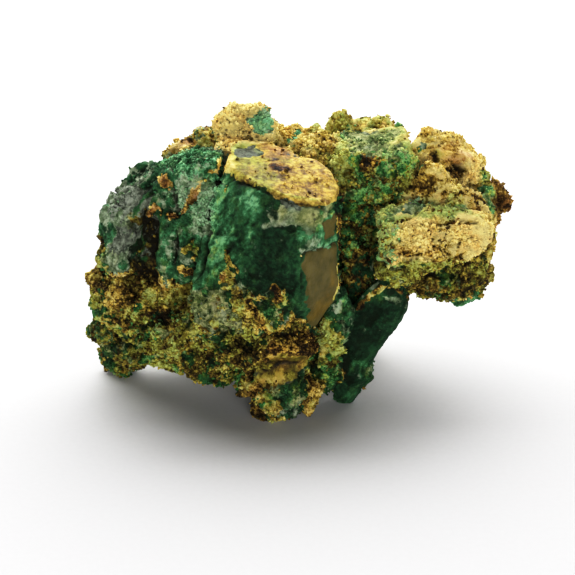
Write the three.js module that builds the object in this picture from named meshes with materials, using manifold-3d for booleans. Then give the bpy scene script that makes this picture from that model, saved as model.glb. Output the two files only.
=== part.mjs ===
// A specimen of bournonite: stout tabular crystals grown together into one stone, weathered to green
// and ochre crusts. It is one natural piece, so it is one solid and one mesh.
//
// Millimetres. +X runs along the cluster to the right, +Y to the back, +Z up. The crystals are laid
// out about the foot of the main crystal; the whole is then moved so that the origin lies on the
// surface under the stone, under the middle of its bounding box.
import * as THREE from "three";
import { ConvexGeometry } from "three/addons/geometries/ConvexGeometry.js";
import { mergeVertices } from "three/addons/utils/BufferGeometryUtils.js";
import Module from "manifold-3d";

const wasm = await Module();
wasm.setup();

// ---- Driving dimensions -------------------------------------------------------------------------

const TRIM_BOX = 90; // a block larger than the stone, which trims the worn undersides level
const LEAST_DETAIL = 0.12; // slivers between faces, narrower than this, are closed up

// Each kind of rounded body: how finely it is faceted, how far apart its lobes are, their height.
const ROUGH_STONE = { detail: 2, spacing: 5.6, relief: 1.8 };
const LOBED_CRUST = { detail: 3, spacing: 3.1, relief: 1.2 };
const CRUST_PATCH = { detail: 2, spacing: 2.6, relief: 0.9 };
const SMALL_KNOB = { detail: 1, spacing: 1.9, relief: 0.35 };

const STONE_COLOUR = 0x56683c;

// Stout crystals, given by their corners.
const CORNERED_CRYSTALS = {
  mainCrystal: [
    [-6.7, -3.0, 25.7], [-3.3, -7.2, 24.8], [-0.6, -8.2, 24.0], [2.8, -7.8, 23.2], [4.1, -4.5, 23.6],
    [3.2, -2.0, 24.6], [2.1, -0.5, 25.0], [-2.4, 2.5, 25.6], [-6.3, 2.0, 25.6], [-7.4, -4.6, 22.8],
    [-8.5, -6.6, 19.2], [-10.2, -8.2, 15.0], [-3.9, -9.9, 18.0], [0.5, -10.0, 19.1], [0.7, -10.0, 13.8],
    [3.9, -6.5, 18.6], [4.0, -6.4, 13.2], [1.9, -7.8, 10.4], [-3.5, -10.4, 11.0], [-4.6, -10.6, 14.2],
    [-9.4, -7.8, 10.4], [4.0, -1.0, 20.0], [2.8, 0.0, 11.0], [-8.0, 2.0, 18.0], [-8.0, 0.0, 9.0],
  ],
  lowerFrontFace: [
    [-9.9, -7.2, 15.2], [-9.3, -7.8, 14.7], [-5.0, -10.5, 14.4], [-3.2, -10.7, 12.6], [-3.6, -10.7, 10.4],
    [-8.8, -8.6, 10.2], [-10.2, -6.2, 10.4], [-9.0, -4.0, 9.6], [-3.0, -6.0, 9.6],
  ],
  greenShoulder: [
    [-13.4, 1.0, 23.9], [-10.6, 2.5, 24.7], [-7.0, 3.0, 25.4], [-12.9, -2.4, 23.9], [-9.4, -3.0, 25.0],
    [-7.4, -2.0, 25.4], [-13.4, -5.0, 15.2], [-9.8, -6.4, 15.1], [-13.2, -4.4, 20.2], [-9.2, -5.4, 20.2],
    [-14.0, 4.0, 14.0], [-7.0, 4.0, 14.0], [-12.6, -4.4, 12.6],
  ],
  greyChunk: [
    [-16.5, 2.0, 22.6], [-14.7, 2.2, 23.4], [-17.8, 1.6, 21.4], [-18.9, 0.8, 20.1], [-19.3, 0.0, 18.1],
    [-15.9, -4.2, 18.3], [-18.9, -3.0, 14.6], [-17.2, -4.6, 14.4], [-14.6, -2.4, 21.9], [-19.0, 4.0, 16.0],
    [-15.0, 5.5, 20.4], [-13.0, 4.0, 13.0], [-19.7, -1.2, 13.4], [-17.2, -2.6, 19.4],
  ],
  shoulderSlope: [
    [-13.4, 1.0, 23.9], [-12.9, -2.4, 23.7], [-14.7, 2.2, 23.3], [-15.0, -2.3, 21.9], [-13.0, -3.9, 21.5],
    [-14.3, -3.5, 20.3], [-13.1, -4.1, 20.0], [-12.6, 5.0, 17.0], [-15.0, 5.0, 17.0],
  ],
  notchWall: [
    [-14.8, -2.3, 20.9], [-12.9, -3.2, 20.9], [-17.0, -3.1, 13.0], [-13.0, -3.9, 13.0], [-16.6, 4.0, 12.6],
    [-12.6, 5.0, 12.6], [-14.8, 4.6, 20.6], [-12.6, 4.6, 20.6],
  ],
  greenBlock: [
    [4.0, 7.2, 24.6], [10.4, 7.6, 25.4], [11.0, 4.6, 25.1], [10.9, 2.0, 24.7], [8.0, 1.0, 24.2],
    [3.7, 2.6, 24.0], [3.8, 1.6, 20.3], [7.6, 0.6, 20.0], [12.0, 1.0, 20.1], [12.4, 1.8, 22.6],
    [4.0, 9.0, 17.0], [11.5, 9.0, 17.0],
  ],
  upperRightCrystal: [
    [11.6, 4.2, 24.8], [12.9, 5.8, 25.7], [14.5, 7.0, 25.1], [16.0, 7.2, 23.9], [18.2, 7.0, 23.0],
    [19.1, 6.6, 22.0], [19.3, 5.6, 20.4], [14.0, 3.6, 24.2], [17.2, 4.0, 23.3], [18.0, 3.6, 21.8],
    [13.4, 3.0, 22.4], [17.6, 4.4, 19.0], [11.6, 5.0, 19.0], [12.5, 9.6, 22.4], [17.2, 9.6, 20.8],
    [16.0, 9.0, 17.0],
  ],
  slopingPlate: [
    [12.0, 1.0, 23.9], [12.9, 1.4, 24.0], [15.1, 0.8, 22.3], [17.2, 1.0, 20.9], [19.0, 2.8, 18.7],
    [19.3, 3.0, 17.4], [11.6, 0.6, 21.0], [14.2, 0.0, 20.0], [17.6, 0.2, 19.2], [12.0, 3.6, 20.0],
    [18.6, 4.6, 17.0], [14.0, 3.2, 22.4], [18.4, 4.6, 19.6],
  ],
  fingerCrystal: [
    [7.8, -4.2, 15.9], [8.0, -4.8, 17.8], [8.8, -4.0, 19.2], [11.0, -5.4, 15.9], [13.8, -5.0, 15.5],
    [16.2, -4.0, 15.7], [18.3, -2.4, 16.1], [19.2, -1.2, 16.8], [19.3, -0.6, 17.9], [18.4, -1.4, 18.8],
    [16.0, -2.6, 19.0], [12.0, -3.6, 19.0], [10.0, 0.0, 19.6], [17.8, 0.4, 17.0], [9.0, 0.0, 15.0],
    [16.0, 0.6, 15.0],
  ],
  fingerUpperLayer: [
    [8.2, -2.6, 19.4], [8.0, 0.0, 20.0], [10.4, 0.4, 20.5], [13.4, 0.6, 20.4], [17.0, 0.2, 19.8],
    [18.6, -0.2, 19.0], [17.6, -1.6, 19.0], [12.0, -3.0, 19.5], [9.0, -3.2, 18.4], [18.0, 1.5, 16.5],
    [9.0, 1.5, 16.0],
  ],
  rearLeftCrystal: [
    [-16.2, 5.5, 20.0], [-12.0, 10.0, 21.6], [-17.6, 7.0, 12.6], [-14.6, 11.8, 13.0], [-9.0, 12.6, 20.6],
    [-9.6, 13.6, 12.6], [-15.6, 6.0, 8.4], [-12.6, 11.0, 8.4], [-11.0, 5.0, 21.6], [-9.0, 6.0, 8.0],
  ],
  rearMiddleCrystal: [
    [-6.4, 10.4, 22.2], [1.6, 11.4, 22.4], [3.4, 14.2, 18.0], [2.2, 15.2, 11.6], [-4.6, 14.8, 10.4],
    [-8.2, 13.4, 16.6], [-5.0, 8.0, 23.0], [2.0, 8.0, 23.2], [3.0, 10.0, 8.6], [-6.0, 9.0, 8.6],
  ],
  rearRightCrystal: [
    [4.6, 10.6, 21.6], [10.8, 10.8, 21.2], [14.0, 10.6, 17.4], [12.6, 12.4, 13.0], [6.4, 13.8, 13.6],
    [4.8, 13.4, 18.6], [11.6, 8.6, 9.6], [5.4, 9.4, 8.4], [15.4, 7.6, 14.2], [13.6, 4.6, 11.4],
  ],
};

// Tabular crystals: an eight-sided plate with bevelled rims. size is length, width and thickness.
const TABLET_CRYSTALS = {
  topTablet: { size: [5.3, 4.9, 2.6], at: [-5.45, 4.9, 26.1], turn: [62, -4, 12] },
  topTabletSmall: { size: [3.0, 3.0, 1.8], at: [-3.0, 4.4, 25.7], turn: [50, 22, 30] },
  rearTopTablet: { size: [6.0, 5.0, 2.2], at: [-1.5, 9.2, 23.0], turn: [-24, 8, 20] },
  rearSideTablet: { size: [7.5, 6.5, 2.6], at: [-13.8, 10.0, 12.4], turn: [-78, 20, 24] },
  rearLowTablet: { size: [8.0, 6.4, 2.8], at: [-3.4, 13.0, 7.6], turn: [-58, -6, 4] },
  rearRightTablet: { size: [7.0, 6.0, 2.4], at: [9.6, 12.2, 13.4], turn: [-66, 14, -18] },
  rearEdgeTablet: { size: [5.6, 5.0, 2.0], at: [14.2, 9.6, 15.6], turn: [-50, 44, -20] },
};

// Upright plates below the right-hand side, each an outline in X and Z with its own lean.
const PLATE_CRYSTALS = {
  broadPlate: {
    outline: [
      [8.8, 12.9], [10.4, 12.2], [11.2, 10.8], [11.1, 9.3], [10.0, 7.4], [8.9, 6.2], [8.0, 4.8],
      [7.6, 3.7], [7.9, 2.5], [7.2, 1.6], [6.2, 0.7], [5.4, -0.4], [4.0, -0.4], [3.4, 4.0],
      [4.4, 7.6], [5.5, 9.9], [7.0, 11.6],
    ],
    thickness: 1.6, at: [0, -2.3, 0], turn: [-7, 0, 6],
  },
  paleStreakedPlate: {
    outline: [[2.8, 12.8], [4.6, 13.2], [5.4, 11.0], [5.2, 8.4], [4.6, 6.6], [3.4, 6.0], [2.6, 8.6]],
    thickness: 1.4, at: [0, -5.2, 0], turn: [-4, 0, 10],
  },
  smallPlate: {
    outline: [[5.6, 5.0], [6.6, 4.4], [7.0, 2.8], [6.4, 1.2], [5.4, 0.4], [4.6, 1.4], [4.8, 3.6]],
    thickness: 1.2, at: [0, -3.4, 0], turn: [-8, 0, -14],
  },
  innerPlate: {
    outline: [[5.2, 16.0], [6.8, 15.0], [8.2, 13.2], [7.6, 10.6], [5.6, 9.6], [4.6, 12.0]],
    thickness: 2.4, at: [0, 1.0, 0], turn: [0, 0, 16],
  },
};

// The mass that the crystals have grown from, and the crust over it: centre, then radii.
const INNER_MASSES = {
  behindMain: [[-4.5, 2.5, 16.5], [9.0, 6.6, 8.0]],
  leftSide: [[-12.4, 2.2, 12.6], [5.4, 5.0, 6.0]],
  backSide: [[0.6, 8.2, 15.6], [10.6, 4.6, 6.6]],
  rightSide: [[11.6, 6.4, 16.4], [6.0, 4.2, 5.4]],
  betweenCrystals: [[4.6, 4.2, 15.4], [3.8, 3.2, 7.4]],
  underSaddle: [[1.4, 4.2, 19.6], [3.4, 3.4, 3.4]],
  rearLeft: [[-12.4, 8.2, 14.6], [3.8, 3.8, 5.0]],
  rearMiddle: [[-1.6, 11.4, 12.6], [5.4, 3.6, 5.6]],
  rearRight: [[9.2, 9.8, 14.6], [4.8, 3.4, 5.0]],
  undersideLeft: [[-10.2, 4.6, 5.6], [5.6, 5.2, 2.7]],
  undersideMiddle: [[-1.2, 0.6, 5.6], [5.6, 6.2, 3.0]],
  undersideRight: [[4.6, 3.2, 7.6], [4.8, 4.6, 3.6]],
  rearFoot: [[5.0, 8.2, 4.6], [2.8, 3.0, 3.8]],
};

const CRUST_MASSES = {
  leftFlank: [[-15.4, -0.4, 10.4], [5.0, 4.8, 4.0]],
  lowerEdge: [[-10.4, -2.6, 7.4], [5.4, 5.3, 3.6]],
  frontFringe: [[-3.6, -7.0, 8.9], [5.4, 3.7, 2.6]],
  belowFinger: [[15.0, 1.4, 12.3], [4.7, 3.4, 3.1]],
};

const CRUST_PATCHES = {
  topSaddle: [[0.8, 5.8, 22.6], [4.6, 4.0, 2.4]],
  leftFoot: [[-16.8, 2.2, 4.6], [2.6, 2.8, 3.2]],
  middleKnob: [[-1.6, -7.6, 4.7], [2.7, 2.5, 3.6]],
  besideKnob: [[2.9, -4.6, 5.6], [1.7, 2.1, 3.8]],
  fingerRoot: [[10.4, -1.4, 14.6], [3.0, 3.0, 2.2]],
  rightEnd: [[18.6, 4.6, 16.4], [1.7, 2.6, 4.0]],
  topRightRidge: [[7.2, 8.8, 23.6], [3.9, 2.2, 1.8]],
  topLeftRidge: [[-10.0, 5.8, 22.1], [3.3, 3.0, 2.3]],
};

const SMALL_KNOBS = {
  leftUpper: [[-19.6, 0.5, 6.0], [1.4, 1.5, 1.25]],
  leftLower: [[-18.4, 3.0, 1.8], [1.9, 1.8, 2.3]],
  leftEdge: [[-19.2, -0.4, 11.6], [1.6, 1.7, 1.6]],
  underFlank: [[-8.2, -5.2, 4.7], [2.4, 1.8, 1.6]],
  knobTip: [[-3.3, -7.0, 1.4], [1.1, 1.2, 1.8]],
  knobLeft: [[-4.5, -6.6, 4.2], [1.5, 1.7, 1.7]],
  knobRight: [[1.2, -6.6, 2.6], [1.3, 1.6, 2.2]],
  knobFront: [[-1.3, -7.4, 1.8], [1.9, 1.5, 2.0]],
  ridgeFirst: [[-9.1, 6.8, 24.0], [1.3, 1.4, 1.1]],
  saddleLeft: [[0.2, 6.8, 24.1], [1.3, 1.4, 1.1]],
  saddleRight: [[1.9, 7.6, 24.1], [1.3, 1.4, 1.2]],
  crestLeft: [[4.9, 9.0, 24.8], [1.3, 1.2, 1.1]],
  crestRight: [[8.2, 8.8, 24.8], [1.7, 1.3, 1.0]],
  fingerBelowFirst: [[16.6, 1.0, 9.4], [1.1, 1.1, 1.0]],
  fingerBelowSecond: [[18.0, 1.2, 10.0], [1.0, 1.0, 1.1]],
  farRight: [[20.4, 5.0, 18.6], [1.15, 1.2, 1.4]],
  rearFootTip: [[5.4, 8.8, 1.4], [2.1, 2.0, 2.2]],
};

// ---- Shapes -------------------------------------------------------------------------------------

// A crystal with flat faces between the given corners.
function corneredCrystal(corners) {
  const points = corners.map((corner) => new THREE.Vector3(...corner));
  return new ConvexGeometry(points);
}

// A plate of even thickness with bevelled rims, standing in the XY plane.
function bevelledPlate(outline, thickness, bevel) {
  const shape = new THREE.Shape(outline.map((point) => new THREE.Vector2(...point)));
  const geometry = new THREE.ExtrudeGeometry(shape, {
    depth: thickness - 2 * bevel,
    bevelEnabled: true,
    bevelThickness: bevel,
    bevelSize: bevel,
    bevelOffset: -bevel,
    bevelSegments: 1,
    curveSegments: 1,
    steps: 1,
  });
  geometry.translate(0, 0, -(thickness - 2 * bevel) / 2);
  return geometry;
}

// An eight-sided tablet, the usual habit of the mineral, with one pair of corners cut wider.
function tabletCrystal([length, width, thickness]) {
  const [a, b] = [length / 2, width / 2];
  const [wide, narrow] = [0.34, 0.2];
  const outline = [
    [a, -b * (1 - 2 * wide)], [a, b * (1 - 2 * narrow)], [a * (1 - 2 * narrow), b],
    [-a * (1 - 2 * wide), b], [-a, b * (1 - 2 * wide)], [-a, -b * (1 - 2 * narrow)],
    [-a * (1 - 2 * narrow), -b], [a * (1 - 2 * wide), -b],
  ];
  return bevelledPlate(outline, thickness, thickness * 0.24);
}

// How far a lobe stands out at a place, 0 in the creases between lobes and 1 at their crowns.
function lobeHeight({ x, y, z }, spacing) {
  const k = Math.PI / spacing;
  const across = Math.sin(k * (x + 0.5 * z) + 0.8 * Math.sin(0.6 * k * y));
  const along = Math.sin(k * (y - 0.4 * x) + 0.8 * Math.sin(0.7 * k * z) + 1.1);
  const upward = Math.sin(k * (z + 0.3 * y) + 0.8 * Math.sin(0.5 * k * x) + 2.3);
  return Math.cbrt(Math.abs(across * along * upward));
}

// A rounded body of crust with lobes on it. The detail sets how finely it is faceted.
function lobedLump([centre, radii], detail, spacing, relief) {
  const geometry = mergeVertices(bare(new THREE.IcosahedronGeometry(1, detail)), 1e-4);
  const position = geometry.getAttribute("position");
  for (let i = 0; i < position.count; i += 1) {
    const out = new THREE.Vector3().fromBufferAttribute(position, i).normalize();
    const place = out.clone().multiply(new THREE.Vector3(...radii)).add(new THREE.Vector3(...centre));
    const shift = (lobeHeight(place, spacing) - 0.5) * relief;
    place.addScaledVector(out, shift);
    position.setXYZ(i, place.x, place.y, place.z);
  }
  return geometry;
}

function turned(geometry, degrees) {
  const [x, y, z] = degrees.map((angle) => THREE.MathUtils.degToRad(angle));
  return geometry.applyMatrix4(new THREE.Matrix4().makeRotationFromEuler(new THREE.Euler(x, y, z, "ZYX")));
}

// ---- Joining ------------------------------------------------------------------------------------

// Positions only, so that vertices which share a place can be merged.
function bare(geometry) {
  const flat = geometry.index ? geometry.toNonIndexed() : geometry;
  const only = new THREE.BufferGeometry();
  only.setAttribute("position", flat.getAttribute("position"));
  return only;
}

function solidOf(geometry) {
  const merged = mergeVertices(bare(geometry), 1e-4);
  return new wasm.Manifold(
    new wasm.Mesh({
      numProp: 3,
      vertProperties: Float32Array.from(merged.getAttribute("position").array),
      triVerts: Uint32Array.from(merged.getIndex().array),
    }),
  );
}

function corneredSolids() {
  return Object.values(CORNERED_CRYSTALS).map((corners) => solidOf(corneredCrystal(corners)));
}

function tabletSolids() {
  return Object.values(TABLET_CRYSTALS).map(({ size, at, turn }) =>
    solidOf(turned(tabletCrystal(size), turn).translate(...at)),
  );
}

// Plates are drawn in X and Z, then leaned about the height at which they stand.
function plateSolids() {
  return Object.values(PLATE_CRYSTALS).map(({ outline, thickness, at, turn }) => {
    const middle = outline.reduce((sum, [x, z]) => [sum[0] + x, sum[1] + z], [0, 0]);
    const [midX, midZ] = middle.map((value) => value / outline.length);
    const about = outline.map(([x, z]) => [x - midX, z - midZ]);
    const plate = bevelledPlate(about, thickness, thickness * 0.28);
    plate.rotateX(Math.PI / 2);
    return solidOf(turned(plate, turn).translate(midX + at[0], at[1], midZ + at[2]));
  });
}

function lumpSolids(lumps, { detail, spacing, relief }) {
  return Object.values(lumps).map((lump) => solidOf(lobedLump(lump, detail, spacing, relief)));
}

// The feet are worn level, so that they all lie on the one plane.
function wornLevel(stone) {
  const block = new THREE.BoxGeometry(TRIM_BOX, TRIM_BOX, TRIM_BOX).translate(0, 0, -TRIM_BOX / 2);
  return stone.subtract(solidOf(block));
}

function meshOf(stone) {
  const { vertProperties, triVerts } = stone.getMesh();
  const geometry = new THREE.BufferGeometry();
  geometry.setAttribute("position", new THREE.BufferAttribute(Float32Array.from(vertProperties), 3));
  geometry.setIndex(new THREE.BufferAttribute(Uint32Array.from(triVerts), 1));
  geometry.computeBoundingBox();
  const { min, max } = geometry.boundingBox;
  geometry.translate(-(min.x + max.x) / 2, -(min.y + max.y) / 2, -min.z);
  const shaded = geometry.toNonIndexed();
  shaded.computeVertexNormals();
  const material = new THREE.MeshStandardMaterial({ color: STONE_COLOUR, roughness: 0.85, metalness: 0 });
  const mesh = new THREE.Mesh(shaded, material);
  mesh.name = "bournonite_specimen";
  return mesh;
}

function specimen() {
  const parts = [
    ...corneredSolids(),
    ...tabletSolids(),
    ...plateSolids(),
    ...lumpSolids(INNER_MASSES, ROUGH_STONE),
    ...lumpSolids(CRUST_MASSES, LOBED_CRUST),
    ...lumpSolids(CRUST_PATCHES, CRUST_PATCH),
    ...lumpSolids(SMALL_KNOBS, SMALL_KNOB),
  ];
  const grown = parts.reduce((stone, solid) => stone.add(solid));
  return wornLevel(grown).simplify(LEAST_DETAIL);
}

const group = new THREE.Group();
group.name = "bournonite";
group.add(meshOf(specimen()));
export default group;
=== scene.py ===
"""A specimen of bournonite, weathered to malachite green and ochre, on a pale table.

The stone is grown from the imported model: its faceted surface is made finer, roughened as each
mineral is rough, and coloured by mineral. Loose-looking grains of ochre, limonite and malachite
then sit on it, as they do on the crusts. Lengths in the tables below are millimetres, measured
from the foot of the main crystal, with X to the right, Y to the back and Z up.
"""

import math
from types import SimpleNamespace

import bpy
import numpy as np
from bpy.props import FloatProperty, FloatVectorProperty, IntProperty, PointerProperty
from mathutils import Matrix, Vector


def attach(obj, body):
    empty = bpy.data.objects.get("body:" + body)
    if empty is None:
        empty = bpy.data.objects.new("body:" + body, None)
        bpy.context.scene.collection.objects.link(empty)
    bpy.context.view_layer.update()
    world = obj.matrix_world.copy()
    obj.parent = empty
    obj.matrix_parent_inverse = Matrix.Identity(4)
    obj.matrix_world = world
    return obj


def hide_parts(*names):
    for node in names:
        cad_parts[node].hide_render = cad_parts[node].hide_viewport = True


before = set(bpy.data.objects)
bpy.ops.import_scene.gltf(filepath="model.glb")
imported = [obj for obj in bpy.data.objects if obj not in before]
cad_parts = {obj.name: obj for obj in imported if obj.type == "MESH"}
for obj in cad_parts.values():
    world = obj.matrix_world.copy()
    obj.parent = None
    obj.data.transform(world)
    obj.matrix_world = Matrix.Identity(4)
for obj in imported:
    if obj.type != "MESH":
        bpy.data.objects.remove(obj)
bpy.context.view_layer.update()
NODE = "bournonite_specimen"
FLAT_MAP = "OFBake"  # the map of each piece's surface laid out flat
MAP_GAP_MM = 0.2  # between the patches on it
MM = 0.001
FOOT_OF_MAIN_CRYSTAL = np.array([-0.2, -2.317, 0.0])  # in the frame, in millimetres

bl_info = {
    "name": "Bournonite specimen",
    "version": (1, 0, 0),
    "blender": (4, 5, 0),
    "location": "View3D > Sidebar > Specimen",
    "description": "Grows a weathered bournonite specimen on its frame, and sets the table and lights",
    "category": "Object",
}


# ---- The minerals over the stone ----------------------------------------------------------------

# What a place on the stone is made of. Most are shares from 0 to 1, and a little past either end
# makes one surer against the unevenness of the crust:
#   ochre   covered by ochre crust
#   brown   how much of that is dark limonite
#   bright  how much of the green is bright malachite
#   pale    bleached or whitish
#   deep    how much darker than usual the colour is (below 0, lighter); on the back it is painted shade, and on a few shaded stretches painted light
#   moss    green dust in the ochre, or ochre dust on the green
#   rust    how reddish and dull the ochre is, or how golden the olive crystal
#   layers  how strongly the ochre runs in long seams
#   grey    bare lead-grey bournonite
#   olive   smooth olive crystal
# and how its surface feels:
#   grain   coarse crumbs
#   pores   pin holes
#   druse   a fine sparkling roughness
#   smooth  worn flat
QUALITIES = (
    "ochre", "brown", "bright", "pale", "deep", "moss", "rust",
    "layers", "grey", "olive", "grain", "pores", "druse", "smooth",
)


def stretch(middle, reach, firmness, **shares):
    """A stretch of the stone: its middle, its reach along X, Y and Z, how firmly it holds against
    its neighbours, and its qualities. A quality that isn't given is 0."""
    return middle, reach, firmness, shares


def streak(width, *line, **shares):
    """A narrow streak laid over the stretches, along a line of places."""
    return line, width, shares


def crack(width, depth, *line):
    """A deep crack along a line of places, or a hole where they lie close together, cut in and darkened
    with painted shade.
    """
    return line, width, depth


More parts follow.
